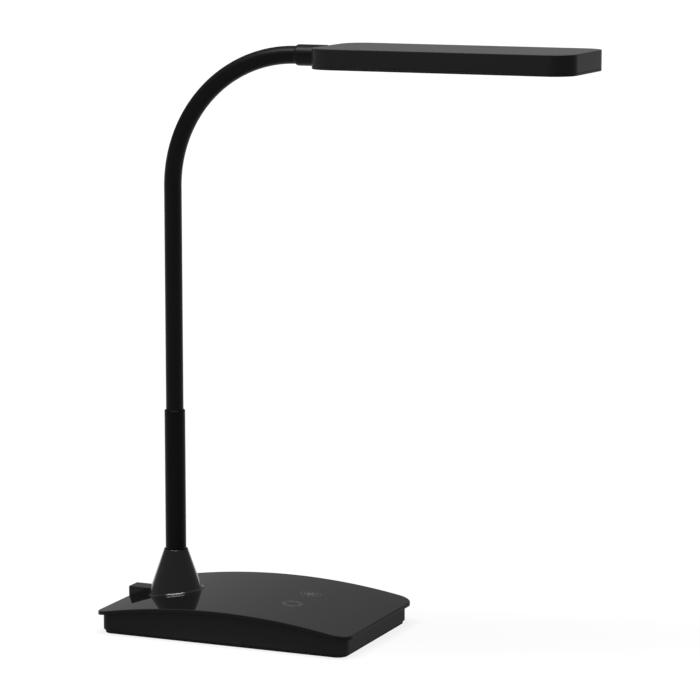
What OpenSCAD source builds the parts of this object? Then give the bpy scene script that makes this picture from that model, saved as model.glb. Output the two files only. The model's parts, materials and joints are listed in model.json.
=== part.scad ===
// Gooseneck desk lamp. Flat light head on a bendable neck, weighted base with two touch keys.
// Origin: centre of the base on the desk. +X runs towards the head, +Z is up.

/* [Base] */
// Length of the tray, front to back
tray_l = 242; // [220:1:270]
// Width of the tray
tray_w = 150; // [140:1:180]
// Radius of the tray's corners in plan
tray_r = 11; // [8:0.5:15]
// Thickness of the tray's walls
tray_wall = 2.4; // [1.8:0.1:3.2]
// Thickness of the tray's floor
tray_floor = 2.4; // [1.8:0.1:3.2]
// Thickness of the non-slip pad under the tray
pad_t = 2.8; // [1.5:0.1:4]
// Step in from the tray's side to the pad's edge
pad_inset = 1.8; // [1:0.1:5]
// Height of the base's crown above the desk
crown_z = 32; // [30:0.5:40]
// Rise of the top plate's arch from its ends to its crown
arch_rise = 12.5; // [9:0.1:14]
// Thickness of the top plate
plate_t = 3; // [2.4:0.1:4]
// Radius of the top plate's corners in plan
plate_r = 15; // [11:0.5:18]
// Bevel of the top plate's long upper edges
plate_bevel = 1; // [0.6:0.1:1.4]
// How far the top plate stands out past the tray's ends
lip_end = 4; // [2:0.5:6]
// How far the top plate stands out past the tray's sides
lip_side = 6; // [2:0.5:8]

/* [Ballast] */
// Room between the ballast plate and the tray's end walls
ballast_end_gap = 23.6; // [20.6:0.2:33.6]
// Room between the ballast plate and the tray's side walls
ballast_side_gap = 20.6; // [19.6:0.2:24.6]
// Thickness of the steel ballast plate
ballast_t = 6; // [4:0.5:7]

/* [Post] */
// Distance of the post in from the back end of the top plate
post_in = 45; // [41:1:55]
// Outer diameter of the rigid sleeve
sleeve_d = 19; // [18:0.5:22]
// Height of the sleeve's top above the desk
sleeve_top = 197; // [120:1:240]
// Diameter of the hollow threaded stem
stem_d = 10; // [8:0.5:11]
// Height of the flat seat for the post, above the desk
seat_z = 25; // [24:0.1:26]
// Height of the collar's top above the desk
collar_top = 67; // [55:1:90]
// Wall of the collar round the sleeve at its top
collar_lip = 0.85; // [0.6:0.05:1.6]
// Slope of the collar's side from the vertical, in degrees
collar_angle = 19; // [14:0.5:21]
// Radius of the fillet where the collar runs out on the plate
collar_fillet = 2.5; // [1.5:0.5:4]
// Thickness of the collar's wall
collar_wall = 2; // [1.4:0.1:3]

/* [Neck] */
// Outer diameter of the bendable hose
hose_d = 16; // [14:0.5:17]
// Diameter of the wire channel through the hose
hose_bore = 6; // [4:0.5:8]
// Radius of the neck's arc at rest
arc_r = 122; // [90:1:160]
// Height of the head's axis above the desk
axis_z = 524; // [460:1:600]

/* [Head] */
// Length of the head
head_l = 243; // [200:1:300]
// Width of the head
head_w = 102; // [90:1:130]
// Thickness of the head
head_t = 18.2; // [17:0.1:24]
// Radius of the head's corners in plan
head_r = 21; // [18:0.5:26]
// Radius of the head's long edges
head_edge_r = 0.8; // [0.4:0.1:1.4]
// Thickness of the head shell's wall
shell_wall = 2; // [1.6:0.1:2.6]
// Thickness of the bezel under the head
bezel_t = 2.2; // [1.8:0.1:3]
// Width of the bezel's border round the light
bezel_border = 12; // [11:0.5:16]
// Outer diameter of the ferrule between the neck and the head
ferrule_d = 19; // [18:0.5:21]
// Length of the ferrule
ferrule_l = 30.8; // [26:0.2:40]
// Rows of light-emitting diodes across the head
led_rows = 4; // [2:1:6]
// Diodes in each row
led_cols = 12; // [6:1:16]

/* [Electrics] */
// Distance of the touch keys in from the front end of the top plate
key_in = 79; // [73:1:85]
// Distance of each touch key from the middle line
key_y = 21; // [17:0.5:24]
// Width of the port hood behind the collar
hood_w = 16.6; // [16.4:0.2:20]
// Height of the hood's top above the desk
hood_top = 29; // [28.5:0.1:31]
// Distance of the power inlet from the middle line
inlet_y = 40; // [24:1:48]

/* [Fits] */
// Gap between pieces that seat on each other
seat_gap = 0.1; // [0.05:0.05:0.3]
// Radial clearance round a screw or stem that passes through
pass_gap = 0.4; // [0.2:0.05:0.6]
// Radial clearance between a screw's thread and its pilot hole
thread_gap = 0.05; // [0.02:0.01:0.1]
// Clearance of the balls in the cups of the neck
cup_gap = 0.4; // [0.3:0.05:0.6]

/* [Hidden] */
$fn = 48;
// Facets of the wide arch cylinders, fine enough that a facet is nowhere seen
arch_fn = 720;
// Overrun of a cut past the face it opens
over = 1;

// --- Base: heights and places ---
floor_z = pad_t;
deck_z = floor_z + tray_floor;
plate_l = tray_l + 2 * lip_end;
plate_w = tray_w + 2 * lip_side;
cavity_l = tray_l - 2 * tray_wall;
cavity_w = tray_w - 2 * tray_wall;
// Radius of the top plate's arch, front to back
arch_r = (plate_l * plate_l / 4 + arch_rise * arch_rise) / (2 * arch_rise);
// Height of the plate's top and underside at a distance x from the middle
function plate_top(x) = crown_z - arch_r + sqrt(arch_r * arch_r - x * x);
function plate_under(x) = crown_z - arch_r + sqrt(pow(arch_r - plate_t, 2) - x * x);
// Slope of the plate at the post, in degrees
post_x = -plate_l / 2 + post_in;
post_slope = asin(-post_x / arch_r);
key_x = plate_l / 2 - key_in;

// Cover screws: M3, from below into the plate's bosses
m3_d = 3;
m3_head_d = 5.6;
m3_head_t = 2;
cover_boss_d = 9;
cover_boss_inset = 17;
cover_boss_h = 4;
cover_pilot_l = 7.5;
cover_split_z = deck_z + cover_boss_h;
cover_pilot_top = cover_split_z + cover_pilot_l;
cover_x = tray_l / 2 - cover_boss_inset;
cover_y = tray_w / 2 - cover_boss_inset + 3;
cover_xy = [for (x = [-1, 0, 1], y = [-1, 1]) [x * cover_x, y * cover_y]];
cover_head_lift = 1.2;
cover_head_z = floor_z + cover_head_lift;
// How far a screw stops short of its hole's end
screw_short = 0.4;

// Ballast: sits on the tray's floor over four pegs
ballast_l = cavity_l - 2 * ballast_end_gap;
ballast_w = cavity_w - 2 * ballast_side_gap;
ballast_top = deck_z + ballast_t;
peg_d = 6.6;
peg_x = ballast_l / 2 - 9;
peg_y = ballast_w / 2 - 8;
peg_xy = [for (x = [-1, 1], y = [-1, 1]) [x * peg_x, y * peg_y]];
ballast_hole_d = 50;

side_rib_t = 1.6;

// Locating rib under the plate's rim
rib_t = 1.6;
rib_h = 2;
rib_gap = 0.3;

// Post: disc, washer and nut under a flat boss of the plate
post_boss_d = 44;
disc_top = seat_z - 5;
disc_t = 2;
disc_d = 40;
washer_t = 1;
washer_d = 18;
nut_h = 4.6;
nut_af = 15;
nut_top = disc_top - disc_t - washer_t;
stem_end = nut_top - nut_h - 1.2;
bush_flange_t = 3;
bush_top = seat_z + 24;
stem_bore = 6;
sleeve_bore_r = hose_d / 2 + seat_gap;
sleeve_foot = seat_z + bush_flange_t;
sleeve_edge_r = 0.6;
hose_foot = bush_top + seat_gap;
collar_top_r = sleeve_d / 2 + seat_gap + collar_lip;
// Thickness of the collar's outermost rim on the plate
collar_rim = 0.4;
// Depth that the fillet's circle cuts into the cone, so that the two always meet
collar_bite = 0.15;
function collar_r(z) = collar_top_r + (collar_top - z) * tan(collar_angle);
collar_base_r = collar_r(plate_top(post_x));

// Hood, USB receptacle and its board, power inlet
hood_back = -plate_l / 2;
hood_wall = 1.4;
hood_back_wall = 1.6;
hood_bevel = 0.8;
usb_w = 13.1;
usb_h = 5.7;
usb_sheet = 0.35;
usb_l = 13.6;
usb_back = hood_back + 0.4;
usb_gap = 0.15;
usb_tongue_w = 11.1;
usb_tongue_t = 1.8;
usb_tongue_l = 8.6;
usb_board_t = 1.2;
shelf_z = plate_top(hood_back) + 0.6;
usb_z = shelf_z + seat_gap + usb_board_t + usb_h / 2;
shelf_back = hood_back + 3.5;
shelf_front = hood_back + 20.5;
shelf_half_w = 7;
inlet_w = 9;
inlet_h = 10;
inlet_l = 13;
inlet_nose_d = 8;
inlet_bore_d = 6;
inlet_pin_d = 2;
inlet_z = deck_z + seat_gap + inlet_h / 2;
inlet_front = -cavity_l / 2 + seat_gap + inlet_l;

// Control board on four posts over the ballast, with a spring under each touch key
board_l = 66;
board_w = 58;
board_t = 1.6;
board_lift = 4;
board_z = ballast_top + board_lift;
board_post_d = 6;
board_hole_inset = 5;
board_xy = [for (x = [-1, 1], y = [-1, 1])
    [key_x + x * (board_l / 2 - board_hole_inset), y * (board_w / 2 - board_hole_inset)]];
board_top = board_z + board_t;
m25_d = 2.5;
m25_head_d = 4.6;
m25_head_t = 1.6;
board_screw_l = 8;
// Controller, coil, capacitors and wire connectors on the board
chip_l = 8;
chip_t = 1.4;
coil_d = 10;
coil_h = 4.5;
cap_d = 6.3;
cap_h = 5.8;
cap_back = 18;
plug_l = 5;
plug_w = 7;
plug_h = 4.4;
plug_inset = 1.5;
plug_pitch = 14;
wire_d = 2;
spring_d = 9;
spring_wire = 0.9;
spring_turns = 5;

// --- Neck: twelve joints along its axis line ---
n_joints = 12;
straight_top = axis_z - arc_r;
straight_len = straight_top - sleeve_top;
arc_len = arc_r * PI / 2;
// The seventh joint lies where the straight turns into the arc
arc_joint = 7;
pitch_low = straight_len / (arc_joint - 0.5);
pitch_high = arc_len / (n_joints - arc_joint + 0.5);
hose_r = hose_d / 2;
ball_r = hose_r - 0.1;
cup_r = ball_r + cup_gap;
// Distance of joint k from the sleeve's top along the axis line, k from 1 to 12
function joint_s(k) = k <= arc_joint ? pitch_low * (k - 0.5)
    : straight_len + pitch_high * (k - arc_joint);
// Turn of the axis line from the vertical at a distance s
function turn(s) = s <= straight_len ? 0 : (s - straight_len) / arc_r * 180 / PI;
function axis_pt(s) = s <= straight_len
    ? [post_x, 0, sleeve_top + s]
    : [post_x + arc_r * (1 - cos(turn(s))), 0, straight_top + arc_r * sin(turn(s))];

// --- Head: places along and up the head ---
ferrule_x = post_x + arc_r;
head_x0 = ferrule_x + ferrule_l;
head_x1 = head_x0 + head_l;
head_mid = (head_x0 + head_x1) / 2;
head_z0 = axis_z - head_t / 2;
head_z1 = axis_z + head_t / 2;
ferrule_bore_l = 20;
ferrule_nose = 3;
spigot_d = 8;
spigot_bore = 5;
spigot_l = 12;
spigot_nut_af = 13;
spigot_nut_t = 4;
spigot_washer_t = 1;
spigot_washer_d = 13.4;
head_wire_d = 1.4;
head_wire_y = 6;
// Bezel, diffuser and light parts
seam = 0.4;
bezel_top = head_z0 + bezel_t;
shell_z0 = bezel_top + seam;
window_l = head_l - 2 * bezel_border;
window_w = head_w - 2 * bezel_border;
window_r = head_r - bezel_border + 1.5;
ledge = 2.2;
ledge_t = 1;
diffuser_t = 1.6;
diffuser_z = head_z0 + ledge_t;
light_z0 = bezel_top + 0.8;
reflector_h = 5.2;
reflector_wall = 1;
led_t = 0.8;
led_board_t = 1.6;
led_board_z = light_z0 + reflector_h + 0.2;
heat_t = 1.5;
heat_z = led_board_z + led_board_t + seat_gap;
light_x0 = head_x0 + 26;
light_x1 = head_x1 - bezel_border + 1;
light_l = light_x1 - light_x0;
light_mid = (light_x0 + light_x1) / 2;
light_w = window_w;
heat_pad = 4;
heat_xy = [for (x = [-1, 1], y = [-1, 1])
    [light_mid + x * (light_l / 2 - 8), y * (light_w / 2 + heat_pad - 4)]];
bezel_screw_inset = 6.5;
bezel_xy = concat(
    [for (x = [-1, 0, 1], y = [-1, 1])
        [head_mid + x * (head_l / 2 - head_r), y * (head_w / 2 - bezel_screw_inset)]]);
shell_boss_d = 6.4;

// ---------------------------------------------------------------- shared shapes

// Flat rectangle with round corners, centred
module round_rect(l, w, r) {
    square([l - 2 * r, w], center = true);
    square([l, w - 2 * r], center = true);
    for (x = [-1, 1], y = [-1, 1]) translate([x * (l / 2 - r), y * (w / 2 - r)]) circle(r);
}

// Upright block with round corners in plan, from z to z + h
module round_block(l, w, r, z, h) {
    translate([0, 0, z]) linear_extrude(h) round_rect(l, w, r);
}

// Half profile of a slab edge: reach out to u, height h, lower and upper edge radii
module edge_profile(u, h, r_low, r_up) {
    square([u - max(r_low, r_up), h]);
    translate([0, r_low]) square([u, h - r_low - r_up]);
    if (r_low > 0) translate([u - r_low, r_low]) circle(r_low);
    if (r_up > 0) translate([u - r_up, h - r_up]) circle(r_up);
}

// Slab with round corners in plan and rounded lower and upper edges, centred, from z = 0
module soft_slab(l, w, r, h, r_low, r_up) {
    for (x = [-1, 1], y = [-1, 1]) translate([x * (l / 2 - r), y * (w / 2 - r), 0])
        rotate_extrude() edge_profile(r, h, r_low, r_up);
    for (s = [0, 1]) mirror([s, 0, 0]) rotate([90, 0, 0])
        linear_extrude(w - 2 * r, center = true) edge_profile(l / 2, h, r_low, r_up);
    for (s = [0, 1]) mirror([0, s, 0]) rotate([90, 0, 90])
        linear_extrude(l - 2 * r, center = true) edge_profile(w / 2, h, r_low, r_up);
}

// Everything under an arch of radius r round the base's arch axis
module under_arch(r) {
    translate([0, 0, crown_z - arch_r]) rotate([90, 0, 0])
        cylinder(r = r, h = 2 * plate_w, center = true, $fn = arch_fn);
}

// Upright tube or rod between two heights
module post(x, y, z0, z1, d) {
    translate([x, y, z0]) cylinder(d = d, h = z1 - z0);
}

function unit(v) = v / norm(v);

// Way that a path runs at each of its points
function tangents(p) = [for (i = [0 : len(p) - 1])
    unit(p[min(i + 1, len(p) - 1)] - p[max(i - 1, 0)])];

// Normal carried along a path without twist, from point i on
function carried(t, n, i = 0) = i == len(t) ? []
    : let (m = unit(n - (n * t[i]) * t[i])) concat([m], carried(t, m, i + 1));

// Route through corner points, each corner rounded off over a length c
function rounded(p, c, steps = 4) = [
    p[0],
    for (i = [1 : 1 : len(p) - 2])
        let (a = p[i] + c * unit(p[i - 1] - p[i]), b = p[i] + c * unit(p[i + 1] - p[i]))
        for (j = [0 : steps]) let (t = j / steps)
            (1 - t) * (1 - t) * a + 2 * t * (1 - t) * p[i] + t * t * b,
    p[len(p) - 1]];

// Round bar swept along a path, closed at both ends
module tube(path, d, sides = 8) {
    t = tangents(path);
    side = abs(t[0][1]) < 0.9 ? [0, 1, 0] : [1, 0, 0];
    n = carried(t, side);
    rings = [for (i = [0 : len(path) - 1], j = [0 : sides - 1]) let (a = 360 * j / sides)
        path[i] + d / 2 * (cos(a) * n[i] + sin(a) * cross(t[i], n[i]))];
    last = (len(path) - 1) * sides;
    walls = [for (i = [0 : sides : last - 1], j = [0 : sides - 1]) let (k = (j + 1) % sides)
        [i + j, i + sides + j, i + sides + k, i + k]];
    ends = [[for (j = [0 : sides - 1]) j], [for (j = [sides - 1 : -1 : 0]) last + j]];
    polyhedron(rings, concat(walls, ends), convexity = 8);
}

// Pan-head screw, head's underside at z = 0, shank downwards, with a cross recess
module screw(d, l, head_d, head_t) {
    difference() {
        cylinder(d = head_d, h = head_t);
        for (a = [0, 90]) rotate(a) translate([-head_d / 4, -0.35, head_t * 0.4])
            cube([head_d / 2, 0.7, head_t]);
    }
    translate([0, 0, -l]) cylinder(d = d, h = l);
}

// Hexagonal nut of a given width across flats, from z = 0, with its bore
module hex_nut(af, h, bore) {
    difference() {
        cylinder(d = af / cos(30), h = h, $fn = 6);
        translate([0, 0, -over]) cylinder(d = bore, h = h + 2 * over);
    }
}

// ---------------------------------------------------------------- base

// Rubber sheet, a little smaller than the tray
module bottom_pad() {
    color("#1b1b1c")
        round_block(tray_l - 2 * pad_inset, tray_w - 2 * pad_inset, tray_r - pad_inset, 0, pad_t);
}

// Moulded tray: floor, walls cut to the arch, screw bosses, ballast pegs, board posts
module base_tray() {
    color("#26272a") difference() {
        intersection() {
            union() {
                difference() {
                    translate([0, 0, floor_z])
                        soft_slab(tray_l, tray_w, tray_r, crown_z, 0.8, 0);
                    round_block(cavity_l, cavity_w, tray_r - tray_wall, deck_z, crown_z + over);
                }
                for (p = cover_xy) post(p[0], p[1], floor_z + 0.5, cover_split_z, cover_boss_d);
                for (p = peg_xy) post(p[0], p[1], floor_z + 0.5, ballast_top - seat_gap, peg_d);
                for (p = board_xy) post(p[0], p[1], floor_z + 0.5, board_z, board_post_d);
                inlet_cradle();
                side_ribs();
            }
            under_arch(arch_r - plate_t - seat_gap);
        }
        for (p = cover_xy) {
            post(p[0], p[1], 0, crown_z, m3_d + 2 * pass_gap);
            post(p[0], p[1], 0, cover_head_z + m3_head_t, m3_head_d + 2 * pass_gap);
        }
        for (p = peg_xy) post(p[0], p[1], deck_z - 0.8, crown_z, m3_d + 2 * thread_gap);
        for (p = board_xy) post(p[0], p[1], deck_z - 0.8, crown_z, m25_d + 2 * thread_gap);
        translate([-tray_l / 2 - over, inlet_y, inlet_z]) rotate([0, 90, 0])
            cylinder(d = inlet_nose_d + 2 * seat_gap, h = tray_wall + 2 * over);
    }
}

// Stiffening ribs between the tray's long walls and the ballast
module side_ribs() {
    gap = ballast_w / 2 + pass_gap;
    for (x = [-2, -1, 1, 2], s = [0, 1]) mirror([0, s, 0])
        translate([x * cover_x / 3 - side_rib_t / 2, gap, deck_z - 0.5])
            cube([side_rib_t, cavity_w / 2 - gap + 0.5, ballast_t + 0.5]);
}

// Ribs of the tray that hold the power inlet from both sides
module inlet_cradle() {
    for (s = [-1, 1])
        translate([-cavity_l / 2 - 0.5, inlet_y + s * (inlet_w / 2 + seat_gap + 0.75) - 0.75,
            deck_z - 0.5]) cube([inlet_l, 1.5, inlet_h * 0.7]);
    translate([inlet_front + seat_gap, inlet_y - inlet_w / 2, deck_z - 0.5])
        cube([1.5, inlet_w, 3]);
}

// Steel plate that weighs the base down, with a round cut-out under the post
module ballast_plate() {
    color("#6f7276") difference() {
        round_block(ballast_l, ballast_w, 6, deck_z + 0.05, ballast_t - 0.05);
        post(post_x, 0, 0, crown_z, ballast_hole_d);
        for (p = peg_xy) post(p[0], p[1], 0, crown_z, peg_d + 2 * pass_gap);
        for (p = board_xy) post(p[0], p[1], 0, crown_z, board_post_d + 2 * pass_gap);
    }
}

// Washer-head screws that clamp the ballast to the tray's pegs
module ballast_screws() {
    color("#8f9296") for (p = peg_xy) translate([p[0], p[1], ballast_top + seat_gap])
        screw(m3_d, ballast_t - 0.6, peg_d + 3, 1.8);
}

// Screws that hold the top plate, driven from below
module cover_screws() {
    color("#8f9296") for (p = cover_xy) translate([p[0], p[1], cover_head_z + m3_head_t - seat_gap])
        mirror([0, 0, 1]) screw(m3_d, cover_pilot_top - cover_head_z - m3_head_t - screw_short,
            m3_head_d, m3_head_t);
}

// Glossy arched plate with bosses, a locating rib, a flat post seat and a shelf for the port
module top_plate() {
    color("#0f0f10") difference() {
        union() {
            intersection() {
                translate([0, 0, crown_z - arch_r]) rotate([90, 0, 0])
                    rotate_extrude($fn = arch_fn) translate([arch_r - plate_t, 0])
                        plate_section();
                round_block(plate_l, plate_w, plate_r, 0, crown_z + over);
            }
            plate_underside();
        }
        // Post seat and stem hole
        post(post_x, 0, seat_z, crown_z + over, sleeve_d + 2 * pass_gap);
        post(post_x, 0, 0, crown_z, stem_d + 2 * pass_gap);
        // Pocket over the shelf, for the receptacle's board, and its wire hole
        translate([shelf_back, -shelf_half_w, shelf_z])
            cube([shelf_front - shelf_back, 2 * shelf_half_w, crown_z]);
        post(shelf_front - 2.5, 0, 0, crown_z, 3.6);
        for (p = cover_xy)
            post(p[0], p[1], cover_split_z - over, cover_pilot_top, m3_d + 2 * thread_gap);
    }
}

// Cross-section of the plate, its thickness along X, both long upper edges bevelled
module plate_section() {
    w = plate_w / 2;
    polygon([[0, -w], [plate_t - plate_bevel, -w], [plate_t, plate_bevel - w],
        [plate_t, w - plate_bevel], [plate_t - plate_bevel, w], [0, w]]);
}

// What hangs from the plate: screw bosses, post boss, port shelf and locating rib
module plate_underside() {
    intersection() {
        union() {
            for (p = cover_xy)
                post(p[0], p[1], cover_split_z + seat_gap, crown_z, cover_boss_d - 1.4);
            post(post_x, 0, disc_top, crown_z, post_boss_d);
            translate([shelf_back - 1, -shelf_half_w - 1.4, shelf_z - 2.6])
                cube([shelf_front - shelf_back + 2, 2 * shelf_half_w + 2.8, crown_z]);
            difference() {
                round_block(cavity_l - 2 * rib_gap, cavity_w - 2 * rib_gap,
                    tray_r - tray_wall - rib_gap, 0, crown_z);
                round_block(cavity_l - 2 * rib_gap - 2 * rib_t, cavity_w - 2 * rib_gap - 2 * rib_t,
                    tray_r - tray_wall - rib_gap - rib_t, -over, crown_z + 2 * over);
                under_arch(arch_r - plate_t - rib_h);
            }
        }
        under_arch(arch_r - plate_t / 2);
    }
}

// Hood over the port: bevelled block, hollow, seated on the arch and fitted to the collar
module port_hood() {
    color("#141415") difference() {
        hood_form(hood_w, hood_back, hood_top, hood_bevel);
        hood_form(hood_w - 2 * hood_wall, hood_back + hood_back_wall, hood_top - hood_wall, 0.2);
        under_arch(arch_r + seat_gap);
        collar_form(seat_gap);
        translate([hood_back - over, -usb_w / 2 - usb_gap, usb_z - usb_h / 2 - usb_gap])
            cube([hood_back_wall + 2 * over, usb_w + 2 * usb_gap, usb_h + 2 * usb_gap]);
    }
}

// Bevelled bar from x0 to the post, of full width w, with its top at z1
module hood_form(w, x0, z1, bevel) {
    intersection() {
        translate([post_x, 0, 0]) rotate([90, 0, -90]) linear_extrude(post_x - x0)
            polygon([[-w / 2, 0], [w / 2, 0], [w / 2, z1 - bevel], [w / 2 - bevel, z1],
                [bevel - w / 2, z1], [-w / 2, z1 - bevel]]);
        translate([0, w, 0]) rotate([90, 0, 0]) linear_extrude(2 * w)
            polygon([[x0, 0], [post_x, 0], [post_x, z1], [x0 + bevel, z1], [x0, z1 - bevel]]);
    }
}

// Pressed-steel shell of the USB receptacle
module usb_shell() {
    color("#b9bcc0") difference() {
        translate([usb_back, -usb_w / 2, usb_z - usb_h / 2]) cube([usb_l, usb_w, usb_h]);
        translate([usb_back - over, -usb_w / 2 + usb_sheet, usb_z - usb_h / 2 + usb_sheet])
            cube([usb_l - usb_sheet + over, usb_w - 2 * usb_sheet, usb_h - 2 * usb_sheet]);
    }
}

// Plastic tongue and back block of the receptacle, with four contacts let in
module usb_tongue() {
    block_l = 3.6;
    inner_w = usb_w - 2 * usb_sheet - 2 * seat_gap;
    inner_h = usb_h - 2 * usb_sheet - 2 * seat_gap;
    x1 = usb_back + usb_l - usb_sheet - seat_gap;
    color("#e9e9e6") union() {
        translate([x1 - block_l, -inner_w / 2, usb_z - inner_h / 2])
            cube([block_l, inner_w, inner_h]);
        translate([x1 - block_l - usb_tongue_l, -usb_tongue_w / 2,
            usb_z + inner_h / 2 - usb_tongue_t - 0.4])
            cube([usb_tongue_l + 0.5, usb_tongue_w, usb_tongue_t]);
    }
}

// Small board under the receptacle
module usb_board() {
    color("#1f5b3a") difference() {
        translate([shelf_back + 0.4, -shelf_half_w + 0.3, shelf_z + seat_gap / 2])
            cube([shelf_front - shelf_back - 1.2, 2 * shelf_half_w - 0.6,
                usb_board_t - seat_gap / 2]);
        post(shelf_front - 2.5, 0, 0, crown_z, 3);
    }
}

// Power inlet: square body behind the tray's wall, round nose through it
module inlet_jack() {
    color("#101011") difference() {
        union() {
            translate([-cavity_l / 2 + seat_gap, inlet_y - inlet_w / 2, deck_z + seat_gap])
                cube([inlet_l, inlet_w, inlet_h]);
            translate([-tray_l / 2 + 0.2, inlet_y, inlet_z]) rotate([0, 90, 0])
                cylinder(d = inlet_nose_d, h = tray_wall + 1);
        }
        translate([-tray_l / 2 - over, inlet_y, inlet_z]) rotate([0, 90, 0])
            cylinder(d = inlet_bore_d, h = 11);
    }
}

// Contact pin of the power inlet
module inlet_pin() {
    color("#c9a95a") translate([-tray_l / 2 + 1.4, inlet_y, inlet_z]) rotate([0, 90, 0])
        cylinder(d = inlet_pin_d, h = 11 - over - 1.4 - 0.05);
}

// Main circuit board
module control_board() {
    color("#1f5b3a") difference() {
        translate([key_x, 0, 0]) round_block(board_l, board_w, 2, board_z + 0.05, board_t - 0.05);
        for (p = board_xy) post(p[0], p[1], 0, crown_z, m25_d + 2 * pass_gap);
    }
}

// Parts soldered to the main board: controller, coil, capacitors and wire connectors
module board_parts() {
    z = board_top + 0.05;
    color("#222326") {
        translate([key_x - chip_l / 2, -chip_l / 2, z]) cube([chip_l, chip_l, chip_t]);
        translate([key_x + 2 * chip_l, 0, z]) cylinder(d = coil_d, h = coil_h);
        for (y = [-chip_l, chip_l]) translate([key_x - cap_back, y, z])
            cylinder(d = cap_d, h = cap_h);
        for (j = [-1, 0, 1])
            translate([key_x - board_l / 2 + plug_inset, j * plug_pitch - plug_w / 2, z])
                cube([plug_l, plug_w, plug_h]);
    }
}

// Screws of the main board
module board_screws() {
    color("#8f9296") for (p = board_xy) translate([p[0], p[1], board_top + seat_gap])
        screw(m25_d, board_screw_l, m25_head_d, m25_head_t);
}

// Centre line of a coil of n turns, radius r and rise h, its end half turns flat
function helix(n, r, h, steps = 14) = [for (i = [0 : n * steps])
    let (turns = i / steps)
    [r * cos(360 * turns), r * sin(360 * turns), h * max(0, min(1, (turns - 0.5) / (n - 1)))]];

// Contact springs that carry the touch of each key down to the board
module touch_springs() {
    color("#c9a95a") for (y = [-1, 1])
        translate([key_x, y * key_y, board_top + spring_wire / 2 + 0.05])
            tube(helix(spring_turns, (spring_d - spring_wire) / 2,
                plate_under(key_x + spring_d / 2) - board_top - spring_wire - 0.2),
                spring_wire, 6);
}

// Wires inside the base: neck, inlet and port to the board's connectors
module base_wires() {
    plug_x = key_x - board_l / 2 + plug_inset - seat_gap;
    drop_x = plug_x - 4 * wire_d;
    z = board_top + plug_h / 2;
    run = ballast_top + wire_d;
    edge = post_x + ballast_hole_d / 2 - 5 * wire_d;
    foot = stem_end - 1.5 * wire_d;
    port_x = shelf_front - 2.5;
    bend = 1.2 * wire_d;
    side = inlet_y - 4 * wire_d;
    color("#3a3b3f") {
        tube(rounded([[post_x, 0, stem_end + 10 * wire_d], [post_x, 0, foot], [edge, 0, foot],
            [edge + 4 * wire_d, 0, run], [drop_x, 0, run], [drop_x, 0, z], [plug_x, 0, z]],
            bend), wire_d);
        tube(rounded([[inlet_front + 5 * seat_gap, inlet_y - 0.75 * wire_d,
            inlet_z + 1.5 * wire_d], [inlet_front + 4.5 * wire_d, side, run],
            [drop_x, plug_pitch, run], [drop_x, plug_pitch, z], [plug_x, plug_pitch, z]],
            bend), wire_d);
        tube(rounded([[port_x, 0, shelf_z - 2 * seat_gap], [port_x, 0, run + 1.5 * wire_d],
            [port_x, -14 * wire_d, run + wire_d / 2], [drop_x, -plug_pitch, run],
            [drop_x, -plug_pitch, z], [plug_x, -plug_pitch, z]], bend), wire_d);
    }
}

// ---------------------------------------------------------------- post

// Steel disc that spreads the post's load under the plate
module post_disc() {
    color("#8f9296") translate([post_x, 0, disc_top - disc_t]) difference() {
        cylinder(d = disc_d, h = disc_t - 0.05);
        translate([0, 0, -over]) cylinder(d = stem_d + 2 * pass_gap, h = disc_t + 2 * over);
    }
}

// Washer over the nut
module post_washer() {
    color("#8f9296") translate([post_x, 0, nut_top + 0.05]) difference() {
        cylinder(d = washer_d, h = washer_t - 0.1);
        translate([0, 0, -over]) cylinder(d = stem_d + 2 * pass_gap, h = washer_t + 2 * over);
    }
}

// Nut that clamps the post to the base
module post_nut() {
    color("#8f9296") translate([post_x, 0, nut_top - nut_h])
        hex_nut(nut_af, nut_h, stem_d + 2 * thread_gap);
}

// Hollow threaded stem through the plate
module neck_stem() {
    color("#8f9296") translate([post_x, 0, stem_end]) difference() {
        cylinder(d = stem_d, h = bush_top - stem_end - 0.05);
        translate([0, 0, -over]) cylinder(d = stem_bore, h = bush_top - stem_end + 2 * over);
    }
}

// Bush that joins the sleeve to the stem, with a flange on the plate's seat
module stem_bush() {
    color("#77797d") translate([post_x, 0, seat_z + 0.05]) difference() {
        union() {
            cylinder(d = sleeve_d, h = bush_flange_t - 0.1);
            cylinder(r = sleeve_bore_r - seat_gap, h = bush_top - seat_z - 0.05);
        }
        translate([0, 0, -over])
            cylinder(d = stem_d + 2 * thread_gap, h = bush_top - seat_z + 2 * over);
    }
}

// Rigid sleeve over the lower part of the hose, with a rounded mouth
module sleeve_tube() {
    wall = sleeve_d / 2 - sleeve_bore_r;
    color("#161617") translate([post_x, 0, sleeve_foot]) rotate_extrude(convexity = 4)
        translate([sleeve_bore_r, 0]) {
            square([wall, sleeve_top - sleeve_foot - sleeve_edge_r]);
            square([wall - sleeve_edge_r, sleeve_top - sleeve_foot]);
            translate([wall - sleeve_edge_r, sleeve_top - sleeve_foot - sleeve_edge_r])
                circle(sleeve_edge_r);
        }
}

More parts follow.
